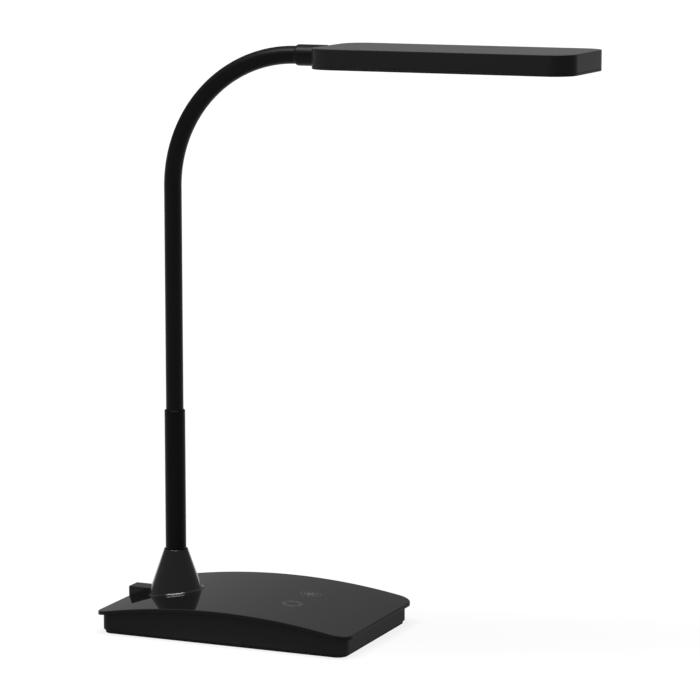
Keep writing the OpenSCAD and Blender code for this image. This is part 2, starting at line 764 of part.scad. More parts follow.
// Outer form of the collar, grown by g: upright cone and a fillet that follows the plate
module collar_form(g) {
    z0 = plate_under(post_x + collar_base_r) - 8;
    translate([post_x, 0, z0])
        cylinder(r1 = collar_r(z0) + g, r2 = collar_r(collar_top) + g, h = collar_top - z0);
    // Ring of the fillet, square to the plate, its centre where the sloping plate meets the cone
    shift = collar_base_r * tan(collar_angle) * tan(post_slope);
    f = collar_fillet;
    reach = collar_base_r + (f - collar_bite - (f + collar_rim) * sin(collar_angle))
        / cos(collar_angle);
    translate([post_x, 0, plate_top(post_x)]) rotate([0, -post_slope, 0]) translate([-shift, 0, 0])
        rotate_extrude() difference() {
            translate([collar_base_r - 2 * f, -4])
                square([reach + g - collar_base_r + 2 * f,
                    4 + collar_rim + f * (1 - sin(collar_angle)) + g]);
            translate([reach + g, f + collar_rim]) circle(f - g);
        }
}

// Moulded cone over the post's foot: hollow, with a lip that fits the sleeve
module collar() {
    z0 = plate_under(post_x + collar_base_r) - 8;
    inner_top = collar_top - 6;
    color("#1a1a1b") difference() {
        collar_form(0);
        translate([post_x, 0, z0 - over])
            cylinder(r1 = collar_r(z0 - over) - collar_wall, r2 = collar_r(inner_top) - collar_wall,
                h = inner_top - z0 + over);
        post(post_x, 0, z0, collar_top + over, sleeve_d + 2 * seat_gap);
        under_arch(arch_r + seat_gap);
    }
}

// ---------------------------------------------------------------- neck

// Solid of the hose between two distances along the axis line, with radius r
module hose_run(s0, s1, r) {
    lo = min(s0, straight_len);
    hi = min(s1, straight_len);
    if (hi > lo) translate([post_x, 0, sleeve_top + lo]) cylinder(r = r, h = hi - lo);
    t0 = turn(s0);
    t1 = turn(s1);
    if (t1 > t0) translate([ferrule_x, 0, straight_top]) rotate([90, 0, 0]) rotate([0, 0, 180 - t1])
        rotate_extrude(angle = t1 - t0, $fn = 96) translate([arc_r, 0]) circle(r);
}

// Places its children on the axis line at a distance s, +Z along the line
module along(s) {
    translate(axis_pt(s)) rotate([0, turn(s), 0]) children();
}

// Rigid stretch from joint k to joint k + 1: cup at its start, ball at its end
module neck_link(k) {
    s0 = joint_s(k);
    s1 = joint_s(k + 1);
    color("#121213") difference() {
        union() {
            hose_run(s0, s1, hose_r);
            along(s1) sphere(ball_r);
        }
        along(s0) sphere(cup_r);
        if (k < arc_joint) along(s0) cylinder(d = hose_bore, h = s1 - s0 + hose_r);
        else hose_run(s0, s1 + hose_r, hose_bore / 2);
    }
}

// Lowest stretch, held in the sleeve, with the first ball
module neck_root() {
    s1 = joint_s(1);
    color("#121213") difference() {
        union() {
            translate([post_x, 0, hose_foot]) cylinder(r = hose_r, h = sleeve_top + s1 - hose_foot);
            along(s1) sphere(ball_r);
        }
        post(post_x, 0, hose_foot - over, sleeve_top + s1 + 2 * hose_r, hose_bore);
    }
}

// Last stretch: cup of the last joint, then straight on into the ferrule
module neck_tip() {
    s0 = joint_s(n_joints);
    s1 = straight_len + arc_len;
    reach = ferrule_bore_l - 2 * seat_gap;
    color("#121213") difference() {
        union() {
            hose_run(s0, s1, hose_r);
            along(s1) cylinder(r = hose_r, h = reach);
        }
        along(s0) sphere(cup_r);
        hose_run(s0, s1, hose_bore / 2);
        along(s1) cylinder(d = hose_bore, h = reach + over);
    }
}

// ---------------------------------------------------------------- head

// Rounded cap that holds the hose's end and seats against the head
module ferrule() {
    face = 0.6;
    r = ferrule_d / 2;
    bore = hose_r + seat_gap;
    color("#161617") translate([ferrule_x, 0, axis_z]) rotate([0, 90, 0]) difference() {
        union() {
            cylinder(r1 = r - face - 0.4, r2 = r, h = ferrule_nose);
            translate([0, 0, ferrule_nose]) cylinder(r = r, h = ferrule_l - ferrule_nose - 0.05);
        }
        translate([0, 0, -over]) cylinder(r = bore, h = ferrule_bore_l + over);
        cylinder(d = spigot_d + 2 * thread_gap, h = ferrule_l + over);
    }
}

// Hollow threaded spigot from the ferrule into the head
module head_spigot() {
    x0 = ferrule_x + ferrule_bore_l + seat_gap;
    color("#8f9296") translate([x0, 0, axis_z]) rotate([0, 90, 0]) difference() {
        cylinder(d = spigot_d, h = head_x0 + spigot_l - x0);
        translate([0, 0, -over]) cylinder(d = spigot_bore, h = 2 * ferrule_l);
    }
}

// Washer inside the head's end wall
module spigot_washer() {
    color("#8f9296") translate([head_x0 + shell_wall + 0.05, 0, axis_z]) rotate([0, 90, 0])
        difference() {
            cylinder(d = spigot_washer_d, h = spigot_washer_t);
            translate([0, 0, -over])
                cylinder(d = spigot_d + 2 * seat_gap, h = spigot_washer_t + 2 * over);
        }
}

// Nut on the spigot, two of its flats level with the head's top
module spigot_nut() {
    color("#8f9296")
        translate([head_x0 + shell_wall + spigot_washer_t + 0.1, 0, axis_z]) rotate([0, 90, 0])
            rotate(30) hex_nut(spigot_nut_af, spigot_nut_t, spigot_d + 2 * thread_gap);
}

// Moulded shell of the head: top and side walls, screw bosses and the spigot's hole
module head_shell() {
    h = head_z1 - shell_z0;
    in_l = head_l - 2 * shell_wall;
    in_w = head_w - 2 * shell_wall;
    color("#1d1d1f") difference() {
        union() {
            difference() {
                translate([head_mid, 0, shell_z0])
                    soft_slab(head_l, head_w, head_r, h, 0, head_edge_r);
                translate([head_mid, 0, 0])
                    round_block(in_l, in_w, head_r - shell_wall, shell_z0 - over,
                        h - shell_wall + over);
            }
            for (p = bezel_xy)
                post(p[0], p[1], bezel_top + seat_gap, head_z1 - shell_wall / 2, shell_boss_d);
            for (p = heat_xy)
                post(p[0], p[1], heat_z + heat_t + seat_gap, head_z1 - shell_wall / 2,
                    shell_boss_d - 1);
        }
        for (p = bezel_xy)
            post(p[0], p[1], head_z0, head_z1 - shell_wall - 0.4, m25_d + 2 * thread_gap);
        for (p = heat_xy)
            post(p[0], p[1], heat_z, head_z1 - shell_wall / 2 - 0.2, m25_d + 2 * thread_gap);
        translate([head_x0 - over, 0, axis_z]) rotate([0, 90, 0])
            cylinder(d = spigot_d + 2 * seat_gap, h = shell_wall + 2 * over);
    }
}

// Aluminium plate that spreads the light board's heat, notched round the bezel's bosses
module heat_plate() {
    color("#a9acb0") difference() {
        translate([light_mid, 0, 0])
            round_block(light_l, light_w + 2 * heat_pad, 4, heat_z, heat_t);
        for (p = heat_xy) post(p[0], p[1], 0, head_z1, m25_d + 2 * pass_gap);
        for (p = bezel_xy) post(p[0], p[1], 0, head_z1, shell_boss_d + 2 * pass_gap);
    }
}

// Screws of the heat plate, driven from below
module heat_screws() {
    room = head_z1 - shell_wall / 2 - 0.4 - heat_z;
    color("#8f9296") for (p = heat_xy) translate([p[0], p[1], heat_z - seat_gap])
        mirror([0, 0, 1]) screw(m25_d, room, m25_head_d, 1.4);
}

// Board that carries the diodes
module led_board() {
    color("#e6e6e2") translate([light_mid, 0, 0])
        round_block(light_l - 4, light_w - 6, 2, led_board_z, led_board_t);
}

// Diodes in a grid under the board
module leds() {
    step_x = (light_l - 16) / led_cols;
    step_y = (light_w - 14) / led_rows;
    color("#f2e9b8") for (i = [0 : led_cols - 1], j = [0 : led_rows - 1])
        translate([light_mid + (i - (led_cols - 1) / 2) * step_x - 1.75,
            (j - (led_rows - 1) / 2) * step_y - 1.4, led_board_z - led_t - 0.05])
            cube([3.5, 2.8, led_t]);
}

// White frame between the light board and the diffuser, with two notches for the wires
module reflector() {
    notch = head_wire_d + 2 * pass_gap;
    notch_z = led_board_z - head_wire_d - 2 * pass_gap;
    color("#f4f4f2") translate([light_mid, 0, 0]) difference() {
        round_block(light_l, light_w, 4, light_z0, reflector_h);
        round_block(light_l - 2 * reflector_wall, light_w - 2 * reflector_wall,
            4 - reflector_wall, light_z0 - over, reflector_h + 2 * over);
        for (s = [-1, 1])
            translate([-light_l / 2 - over, s * head_wire_y - notch / 2, notch_z])
                cube([reflector_wall + 2 * over, notch, reflector_h]);
    }
}

// Opal sheet that lies on the bezel's ledge
module diffuser() {
    l = window_l + 2 * ledge - 2 * seat_gap;
    w = window_w + 2 * ledge - 2 * seat_gap;
    color("#f6f6f4") translate([head_mid, 0, 0])
        round_block(l, w, window_r + ledge - seat_gap, diffuser_z + 0.05, diffuser_t);
}

// Frame under the head: rounded lower edge, a window with a ledge and countersunk screw holes
module head_bezel() {
    pocket_l = window_l + 2 * ledge;
    pocket_w = window_w + 2 * ledge;
    color("#18181a") difference() {
        translate([head_mid, 0, head_z0])
            soft_slab(head_l, head_w, head_r, bezel_t, head_edge_r, 0.3);
        translate([head_mid, 0, 0])
            round_block(window_l, window_w, window_r, head_z0 - over, bezel_t + 2 * over);
        translate([head_mid, 0, 0])
            round_block(pocket_l, pocket_w, window_r + ledge, diffuser_z, bezel_t + over);
        for (p = bezel_xy) {
            post(p[0], p[1], head_z0 - over, head_z1, m25_d + 2 * pass_gap);
            post(p[0], p[1], head_z0 - over, head_z0 + 1.3, m25_head_d + 2 * pass_gap);
        }
    }
}

// Screws that hold the bezel to the shell
module bezel_screws() {
    z = head_z0 + 1.3 - seat_gap;
    room = head_z1 - shell_wall - 0.8 - z;
    color("#2a2a2c") for (p = bezel_xy) translate([p[0], p[1], z])
        mirror([0, 0, 1]) screw(m25_d, room, m25_head_d, 1);
}

// Pair of wires from the spigot to the light board
module head_wires() {
    x0 = ferrule_x + ferrule_bore_l + 3;
    bend = head_x0 + spigot_l + 3;
    z = led_board_z - head_wire_d / 2 - 0.2;
    color("#b9bcc0") for (s = [-1, 1])
        tube(rounded([[x0, s * 1.2, axis_z], [bend, s * 1.2, axis_z],
            [bend + 6, s * head_wire_y, z], [light_x0 + 6, s * head_wire_y, z]], 2),
            head_wire_d);
}

// ---------------------------------------------------------------- nodes

bottom_pad();
base_tray();
ballast_plate();
ballast_screws();
top_plate();
cover_screws();
port_hood();
usb_shell();
usb_tongue();
usb_board();
inlet_jack();
inlet_pin();
control_board();
board_parts();
board_screws();
touch_springs();
base_wires();
post_disc();
post_washer();
post_nut();
neck_stem();
stem_bush();
sleeve_tube();
collar();
neck_root();
neck_link(1);  // neck_link_01
neck_link(2);  // neck_link_02
neck_link(3);  // neck_link_03
neck_link(4);  // neck_link_04
neck_link(5);  // neck_link_05
neck_link(6);  // neck_link_06
neck_link(7);  // neck_link_07
neck_link(8);  // neck_link_08
neck_link(9);  // neck_link_09
neck_link(10);  // neck_link_10
neck_link(11);  // neck_link_11
neck_tip();
ferrule();
head_spigot();
spigot_washer();
spigot_nut();
head_shell();
heat_plate();
heat_screws();
led_board();
leds();
reflector();
diffuser();
head_bezel();
bezel_screws();
head_wires();
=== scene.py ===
"""Gooseneck desk lamp: smooth skins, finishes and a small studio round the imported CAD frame."""

import json
import math
from typing import NamedTuple

import bpy
import numpy as np
from bpy.props import FloatProperty, FloatVectorProperty, PointerProperty
from mathutils import Matrix, Vector


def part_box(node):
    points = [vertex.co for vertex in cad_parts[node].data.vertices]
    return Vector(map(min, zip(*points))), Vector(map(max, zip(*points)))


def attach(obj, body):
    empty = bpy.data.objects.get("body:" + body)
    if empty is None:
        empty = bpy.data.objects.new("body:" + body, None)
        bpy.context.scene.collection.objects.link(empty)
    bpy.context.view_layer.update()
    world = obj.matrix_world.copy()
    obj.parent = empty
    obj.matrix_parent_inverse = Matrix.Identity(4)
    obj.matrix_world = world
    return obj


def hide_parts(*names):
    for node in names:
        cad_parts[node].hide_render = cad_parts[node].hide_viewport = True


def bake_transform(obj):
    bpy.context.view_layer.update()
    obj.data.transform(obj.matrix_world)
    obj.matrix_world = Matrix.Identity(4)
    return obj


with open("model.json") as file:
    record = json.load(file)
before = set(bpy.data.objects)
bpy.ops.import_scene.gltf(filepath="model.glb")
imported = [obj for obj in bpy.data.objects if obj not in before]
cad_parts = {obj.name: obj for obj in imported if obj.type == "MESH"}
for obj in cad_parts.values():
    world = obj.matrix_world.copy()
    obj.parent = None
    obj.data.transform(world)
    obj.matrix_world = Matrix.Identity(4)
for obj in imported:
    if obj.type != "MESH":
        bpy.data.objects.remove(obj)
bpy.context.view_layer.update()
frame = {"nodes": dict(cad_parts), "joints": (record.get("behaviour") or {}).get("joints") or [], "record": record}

bl_info = {
    "name": "Gooseneck Desk Lamp",
    "version": (1, 0, 0),
    "blender": (4, 5, 0),
    "location": "View3D > Sidebar > Desk Lamp",
    "description": "Builds the skins, finishes and studio of a gooseneck desk lamp",
    "category": "Object",
}

MM = 0.001
SLOT_OF = {part["node"]: part["material_slot"] for part in frame["record"]["subparts"]}
TRAY, PLATE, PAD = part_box("base_tray"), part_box("top_plate"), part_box("bottom_pad")
SLEEVE, COLLAR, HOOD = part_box("sleeve_tube"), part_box("collar"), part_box("port_hood")
FERRULE, SHELL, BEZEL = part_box("ferrule"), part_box("head_shell"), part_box("head_bezel")
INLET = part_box("inlet_jack")
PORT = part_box("usb_shell")


def box_size(corners):
    """Size and middle of a node's box."""
    low, high = np.array(corners[0]), np.array(corners[1])
    return high - low, (high + low) / 2


SLEEVE_R, POST_X = box_size(SLEEVE)[0][0] / 2, box_size(SLEEVE)[1][0]
FERRULE_R, AXIS_Z = box_size(FERRULE)[0][2] / 2, box_size(FERRULE)[1][2]


def length(name, description, default, unit="LENGTH"):
    """One size of the lamp, shown in the sidebar."""
    return FloatProperty(name=name, description=description, default=default, unit=unit,
                         precision=5)


def colour(name, description, value):
    """One colour of the lamp, shown in the sidebar."""
    return FloatVectorProperty(name=name, description=description, default=value,
                               subtype="COLOR", min=0.0, max=1.0)


class LampSizes(bpy.types.PropertyGroup):
    """Sizes of the lamp's skins, in metres."""
    tray_corner: length("Tray corner", "Radius of the tray's corners in plan", 11 * MM)
    tray_wall: length("Tray wall", "Thickness of the tray's walls and floor", 2.4 * MM)
    tray_foot: length("Tray foot", "Radius of the tray's lower edge", 0.8 * MM)
    pad_corner: length("Pad corner", "Radius of the pad's corners in plan", 9.2 * MM)
    plate_corner: length("Plate corner", "Radius of the plate's corners in plan", 15 * MM)
    plate_thick: length("Plate thickness", "Thickness of the arched top plate", 3 * MM)
    plate_edge: length("Plate edge", "Radius of the plate's upper edge", 0.65 * MM)
    plate_lift: length("Plate lift", "Height of the plate's skin over its solid", 0.4 * MM)
    arch_rise: length("Arch rise", "Rise of the arch from its ends to its crown", 12.5 * MM)
    post_hole: length("Post hole", "Radius of the post's hole through the plate", 9.9 * MM)
    collar_slope: length("Collar slope", "Slope of the cone's side from the vertical",
                         math.radians(19), "ROTATION")
    collar_flare: length("Collar flare", "Radius of the fillet at the cone's foot", 3 * MM)
    collar_wall: length("Collar wall", "Thickness of the cone's wall", 2 * MM)
    hood_edge: length("Hood edge", "Radius of the hood's edges", 0.45 * MM)
    neck_radius: length("Neck radius", "Radius of the bendable hose", 8 * MM)
    ferrule_in: length("Ferrule start", "Bare hose between the arc's end and the ferrule",
                       1.9 * MM)
    neck_arc: length("Neck arc", "Radius of the neck's arc at rest", 122 * MM)
    head_corner: length("Head corner", "Radius of the head's corners in plan", 21 * MM)
    head_edge: length("Head edge", "Radius of the head's long edges", 0.6 * MM)
    head_wall: length("Head wall", "Thickness of the head's shell", 2 * MM)
    bezel_border: length("Bezel border", "Width of the frame round the light", 12 * MM)
    key_x: length("Key place", "Distance of the touch keys ahead of the middle", 46 * MM)
    key_y: length("Key spread", "Distance of each key from the middle line", 20.5 * MM)
    mark_shift: length("Mark shift", "Shift of the marks towards the far side", 1.3 * MM)
    key_radius: length("Key radius", "Outer radius of the rings round the keys", 9.3 * MM)


class LampColours(bpy.types.PropertyGroup):
    """Main colours of the lamp."""
    plate: colour("Plate", "Glossy top plate of the base", (0.0060, 0.0060, 0.0061))
    moulding: colour("Moulding", "Shell and bezel of the head", (0.0290, 0.0290, 0.0292))
    hood: colour("Hood", "Satin hood over the port", (0.0240, 0.0240, 0.0241))
    tray: colour("Tray", "Matt tray of the base", (0.0540, 0.0540, 0.0542))
    edge: colour("Plate edge", "Narrow sides of the top plate", (0.0250, 0.0250, 0.0251))
    collar: colour("Collar", "Satin cone at the foot of the post", (0.0085, 0.0085, 0.0086))
    neck: colour("Neck", "Hose of the neck, sleeve and ferrule", (0.0055, 0.0055, 0.0056))
    mark: colour("Key marks", "Printed rings of the touch keys", (0.090, 0.090, 0.090))
    opal: colour("Opal", "Opal sheet under the head", (0.80, 0.80, 0.78))
    floor: colour("Floor", "Studio floor", (0.125, 0.125, 0.125))
    sky: colour("Sky", "Even light from all round", (0.22, 0.22, 0.22))


# ---------------- surfaces

def unit(vectors):
    """Vectors of length 1 along the given ones."""
    return vectors / np.maximum(np.linalg.norm(vectors, axis=1, keepdims=True), 1e-20)


def rounded_outline(size, radius, centre=(0.0, 0.0), along=40, across=24, arc=20):
    """Points and outward normals of a rounded rectangle, anticlockwise.
    Each corner is a quarter circle, point = its centre + radius (cos a, sin a), and each
    straight between two corners is cut into equal steps."""
    half = np.array(size[:2]) / 2 - radius
    turn = np.linspace(0.0, np.pi / 2, arc + 1)
    signs = ((1, 1), (-1, 1), (-1, -1), (1, -1))
    points, normals = [], []
    for quarter, sign in enumerate(signs):
        angle = turn + quarter * np.pi / 2
        way = np.stack([np.cos(angle), np.sin(angle)], 1)
        corner, ahead = half * sign, half * signs[(quarter + 1) % 4]
        steps = across if quarter % 2 else along
        share = np.linspace(0.0, 1.0, steps + 1)[1:-1, None]
        points += [corner + radius * way, corner + radius * way[-1] + share * (ahead - corner)]
        normals += [way, np.repeat(way[-1:], steps - 1, 0)]
    return np.concatenate(points) + np.array(centre), np.concatenate(normals)


def fillet(inset, height, radius, start, stop, steps=7):
    """Points of a profile's arc: (inset + radius cos a, height + radius sin a), a from start to
    stop in degrees. Insets run inwards, so 180 degrees points outwards."""
    angle = np.radians(np.linspace(start, stop, steps))
    return np.stack([inset + radius * np.cos(angle), height + radius * np.sin(angle)], 1)


def profile_normals(profile):
    """Normal at each profile point: the mean of its two segments' normals, weighted by their
    lengths, so that long flats stay flat up to their fillets."""
    way = (np.concatenate([profile[1:], profile[-1:]])
           - np.concatenate([profile[:1], profile[:-1]]))
    return unit(np.stack([way[:, 1], -way[:, 0]], 1))


def turns(steps):
    """Equal steps of a full turn."""
    return np.linspace(0, 2 * np.pi, steps, endpoint=False)


def grid_faces(rows, columns, close_rows=True):
    """Quads of a grid whose columns close on themselves, and whose rows may."""
    row = np.arange(rows if close_rows else rows - 1)[:, None]
    column = np.arange(columns)[None, :]
    up, across = (row + 1) % rows, (column + 1) % columns
    quads = np.stack([row * columns + column, row * columns + across,
                      up * columns + across, up * columns + column], -1)
    return quads.reshape(-1, 4).tolist()


def capped_faces(rows, columns):
    """Quads of an open tube of rings, and a flat cap at each of its ends."""
    return grid_faces(rows, columns, False) + [
        list(range(columns))[::-1], list(range((rows - 1) * columns, rows * columns))]


def ring_surface(outline, normals, profile, lift=None):
    """Rings of an outline, each moved in by the profile's inset and up to its height.
    A point is outline - inset x outward normal, at the profile's height, raised by lift(x)
    where the surface follows an arch. The first and last rings are capped."""
    inset, height = profile[:, 0, None, None], profile[:, 1]
    plan = outline[None] - inset * normals[None]
    rise = np.broadcast_to(height[:, None], plan.shape[:2])
    if lift is not None:
        rise = rise + lift(plan[..., 0])
    points = np.concatenate([plan, rise[..., None]], -1)
    side = profile_normals(profile)
    shade = np.concatenate([-side[:, 0, None, None] * normals[None],
                            np.broadcast_to(side[:, 1, None, None], plan.shape[:2] + (1,))], -1)
    return points.reshape(-1, 3), capped_faces(*plan.shape[:2]), shade.reshape(-1, 3)


def revolve(profile, origin, along, steps=96):
    """Closed profile of (radius, distance along the axis) turned about the axis.
    A point is origin + distance x axis + radius (cos a u + sin a v)."""
    axis, side = np.array(along, float), np.array((0.0, 1.0, 0.0))
    angle = turns(steps)[:, None]
    spoke = np.cos(angle) * side + np.sin(angle) * np.cross(axis, side)
    points = (np.array(origin) + profile[:, 1, None, None] * axis
              + profile[:, 0, None, None] * spoke[None])
    return points.reshape(-1, 3), grid_faces(len(profile), steps)


def face_groups(faces):
    """Corner numbers of the faces, one array for each count of corners."""
    return [np.array([face for face in faces if len(face) == count])
            for count in {len(face) for face in faces}]


def volume(points, faces):
    """Signed volume of a closed surface, from the fans of its faces."""
    total = 0.0
    for index in face_groups(faces):
        corners = points[index]
        for k in range(1, index.shape[1] - 1):
            total += np.einsum("ij,ij->", corners[:, 0],
                               np.cross(corners[:, k], corners[:, k + 1]))
    return total / 6


def area_normals(points, faces):
    """Mean of the face normals round each vertex, weighted by face area."""
    normal = np.zeros_like(points)
    for index in face_groups(faces):
        corners = points[index]
        area = np.cross(corners, np.roll(corners, -1, 1)).sum(1)
        np.add.at(normal, index.ravel(), np.repeat(area, index.shape[1], 0))
    return unit(normal)


def link_object(name, data):
    """A new object of the scene."""
    made = bpy.data.objects.new(name, data)
    bpy.context.scene.collection.objects.link(made)
    return made


def build_mesh(name, points, faces, shade=None, smooth=True):
    """A mesh object from arrays, turned outwards, shaded by the given or the area normals."""
    if volume(points, faces) < 0:
        faces = [face[::-1] for face in faces]
    mesh = bpy.data.meshes.new(name)
    mesh.from_pydata(points.tolist(), [], faces)
    mesh.polygons.foreach_set("use_smooth", np.full(len(faces), smooth))
    if smooth:
        area = area_normals(points, faces)
        if shade is None:
            shade = area
        else:
            shade = shade * np.where((shade * area).sum(1, keepdims=True) < 0, -1, 1)
        mesh.normals_split_custom_set_from_vertices(shade.tolist())
    mesh.update()
    return link_object(name, mesh)


def join_surfaces(*surfaces):
    """Several (points, faces) surfaces as one."""
    points, faces, count = [], [], 0
    for part_points, part_faces in surfaces:
        points.append(part_points)
        faces += [[corner + count for corner in face] for face in part_faces]
        count += len(part_points)
    return np.concatenate(points), faces


def block_surface(low, high):
    """Plain block between two corners, as a cutter."""
    x, y, z = np.meshgrid(*zip(low, high), indexing="ij")
    points = np.stack([x, y, z], -1).reshape(-1, 3)
    faces = [[0, 1, 3, 2], [4, 6, 7, 5], [0, 4, 5, 1], [2, 3, 7, 6], [0, 2, 6, 4], [1, 5, 7, 3]]
    return points, faces


def rod_surface(origin, along, radius, reach, steps=40):
    """Plain rod with flat ends, as a cutter."""
    points, _ = revolve(np.array([(radius, 0.0), (radius, reach)]), origin, along, steps)
    return points, capped_faces(2, steps)


def cut_from(piece, surface):
    """Cuts a closed surface out of a piece, and shades what is left by area and sharp edges."""
    cutter = build_mesh(piece.name + "_cutter", *surface, smooth=False)
    cut = piece.modifiers.new("cut", "BOOLEAN")
    cut.operation, cut.object, cut.solver = "DIFFERENCE", cutter, "EXACT"
    bpy.context.view_layer.update()
    evaluated = piece.evaluated_get(bpy.context.evaluated_depsgraph_get())
    mesh = bpy.data.meshes.new_from_object(evaluated)
    piece.modifiers.remove(cut)
    old, piece.data = piece.data, mesh
    mesh.name = piece.name
    bpy.data.meshes.remove(old)
    bpy.data.objects.remove(cutter)
    mesh.normals_split_custom_set([(0.0, 0.0, 0.0)] * len(mesh.loops))
    mesh.set_sharp_from_angle(angle=math.radians(35))
    piece.modifiers.new("even shading", "WEIGHTED_NORMAL").keep_sharp = True


# ---------------- the lamp's lines

def arch_radius(sizes):
    """Radius of the arch whose ends lie the rise below its crown."""
    half = box_size(PLATE)[0][0] / 2
    return (half * half + sizes.arch_rise ** 2) / (2 * sizes.arch_rise)


def arch_top(sizes, x, inward=0.0):
    """Height of the plate's arch at x, or of the arch that lies the given depth inside it."""
    radius = arch_radius(sizes)
    top = PLATE[1].z + sizes.plate_lift
    return top - radius + np.sqrt((radius - inward) ** 2 - x * x)


def neck_straight(sizes):
    """Length of the neck's straight, from the sleeve's mouth to the start of the arc."""
    return AXIS_Z - sizes.neck_arc - SLEEVE[1].z


def neck_line(sizes, s):
    """Points and turns of the neck's centre line at distances s above the sleeve's mouth.
    It runs straight up, then round a quarter circle towards the head, then straight on."""
    arc, straight = sizes.neck_arc, neck_straight(sizes)
    turn = np.clip((s - straight) / arc, 0.0, np.pi / 2)
    past = np.maximum(s - straight - arc * np.pi / 2, 0.0)
    x = POST_X + arc * (1 - np.cos(turn)) + past
    z = SLEEVE[1].z + np.minimum(s, straight) + arc * np.sin(turn)
    return np.stack([x, np.zeros_like(x), z], -1), turn


# ---------------- shader effects

def set_inputs(tree, node, inputs):
    """Gives each named input its constant, or a link where a socket is given."""
    for name, value in inputs.items():
        if isinstance(value, bpy.types.NodeSocket):
            tree.links.new(value, node.inputs[name])
        else:
            node.inputs[name].default_value = value


def add_node(tree, kind, inputs, **settings):
    """Adds a shader node with its settings and inputs, and returns its outputs."""
    node = tree.nodes.new("ShaderNode" + kind)
    for name, value in settings.items():
        setattr(node, name, value)
    set_inputs(tree, node, inputs)
    return node.outputs


def maths(tree, operation, *values, clamp=False):
    """A Math node; numbers and sockets may both be given."""
    return add_node(tree, "Math", dict(enumerate(values)), operation=operation,
                    use_clamp=clamp)[0]


def times(tree, first, second):
    """Product of two values."""
    return maths(tree, "MULTIPLY", first, second)


def noise(tree, vector, scale, detail, roughness=0.5):
    """A Noise node read at a vector."""
    return add_node(tree, "TexNoise", {"Vector": vector, "Scale": scale, "Detail": detail,
                                       "Roughness": roughness})["Fac"]


def ramp(tree, value, low, high, out_low=0.0, out_high=1.0):
    """Value from low to high carried to out_low to out_high, smoothly and clamped."""
    return add_node(tree, "MapRange", {"Value": value, "From Min": low, "From Max": high,
                                       "To Min": out_low, "To Max": out_high},
                    interpolation_type="SMOOTHSTEP")["Result"]


def mix_colours(tree, share, first, second):
    """A Mix node from the first colour to the second."""
    return add_node(tree, "Mix", {"Factor": share, "A": first, "B": second},
                    data_type="RGBA")["Result"]


def start_group(name, *outputs):
    """A node group with a vector, a scale and an amount in, and the named floats out."""
    group = bpy.data.node_groups.new(name, "ShaderNodeTree")
    for title in ("Vector", "Scale", "Amount"):
        kind = "NodeSocketVector" if title == "Vector" else "NodeSocketFloat"
        group.interface.new_socket(name=title, in_out="INPUT", socket_type=kind)
    for title in outputs:
        group.interface.new_socket(name=title, in_out="OUTPUT", socket_type="NodeSocketFloat")
    given = group.nodes.new("NodeGroupInput").outputs
    end = group.nodes.new("NodeGroupOutput")
    return group, end, given["Vector"], given["Scale"], given["Amount"]


def mould_grain_group():
    """Fine eroded grain of a mould: small noise cells over a slower waviness."""
    group, end, vector, scale, amount = start_group("Mould grain", "Height", "Shade")
    fine = noise(group, vector, scale, 3.0, 0.6)
    slow = noise(group, vector, times(group, scale, 0.12), 1.0)
    height = maths(group, "ADD", fine, times(group, slow, 0.6))
    set_inputs(group, end, {"Height": times(group, height, amount),
                            "Shade": ramp(group, fine, 0.3, 0.7)})
    return group


def handling_group():
    """Faint smudges, broken up by finer streaks, as handling and wiping leave them."""
    group, end, vector, scale, amount = start_group("Handling", "Smudge")
    patches = ramp(group, noise(group, vector, scale, 4.0, 0.55), 0.48, 0.72)
    streaks = ramp(group, noise(group, vector, times(group, scale, 6.0), 3.0), 0.45, 0.75)
    smudge = times(group, patches, maths(group, "ADD", streaks, 0.35))
    set_inputs(group, end, {"Smudge": maths(group, "MULTIPLY", smudge, amount, clamp=True)})
    return group


def settled_dust_group():
    """Fine dust on faces that look up: sparse specks and a thin film, masked by the normal."""
    group, end, vector, scale, amount = start_group("Settled dust", "Dust")
    normal = add_node(group, "NewGeometry", {})["Normal"]
    facing = ramp(group, add_node(group, "SeparateXYZ", {0: normal})["Z"], 0.55, 0.98)
    cells = add_node(group, "TexVoronoi", {"Vector": vector, "Scale": scale})
    specks = ramp(group, cells["Distance"], 0.02, 0.10, 1.0, 0.0)
    rare = ramp(group, noise(group, vector, times(group, scale, 0.35), 1.0), 0.56, 0.66)
    film = ramp(group, noise(group, vector, times(group, scale, 0.05), 3.0),
                0.35, 0.8, 0.0, 0.25)
    dust = maths(group, "ADD", times(group, specks, rare), film)
    dust = times(group, times(group, dust, facing), amount)
    set_inputs(group, end, {"Dust": dust})
    return group


def brushed_group():
    """Fine parallel scratches of drawn or turned metal, from noise stretched by the vector."""
    group, end, vector, scale, amount = start_group("Brushed lines", "Height", "Shade")
    lines = noise(group, vector, scale, 4.0, 0.7)
    set_inputs(group, end, {"Height": times(group, lines, amount),
                            "Shade": ramp(group, lines, 0.3, 0.7)})
    return group


GROUP_MAKERS = {"Mould grain": mould_grain_group, "Handling": handling_group,
                "Settled dust": settled_dust_group, "Brushed lines": brushed_group}


def effect(tree, kind, vector, scale, amount=1.0):
    """Places a shared effect in a material, with that material's own values."""
    node = tree.nodes.new("ShaderNodeGroup")
    node.node_tree = bpy.data.node_groups.get(kind) or GROUP_MAKERS[kind]()
    set_inputs(tree, node, {"Vector": vector, "Scale": scale, "Amount": amount})
    return node.outputs


# ---------------- finishes

class Finish(NamedTuple):
    """What one finish is made of."""
    colour: object  # name of a sidebar colour, or a colour of its own
    spread: float  # share by which the relief darkens and lightens the colour
    rough: tuple  # least and greatest roughness
    scale: float  # the relief's cells per metre
    depth: float  # the relief's depth in metres
    relief: str = "Mould grain"  # effect that gives the relief
    stretch: tuple = (1, 1, 1)  # the relief's scale along each axis
    dust: float = 0.0  # how much dust has settled
    smudge: float = 18.0  # smudges per metre
    metal: float = 0.0
    ior: float = 1.45


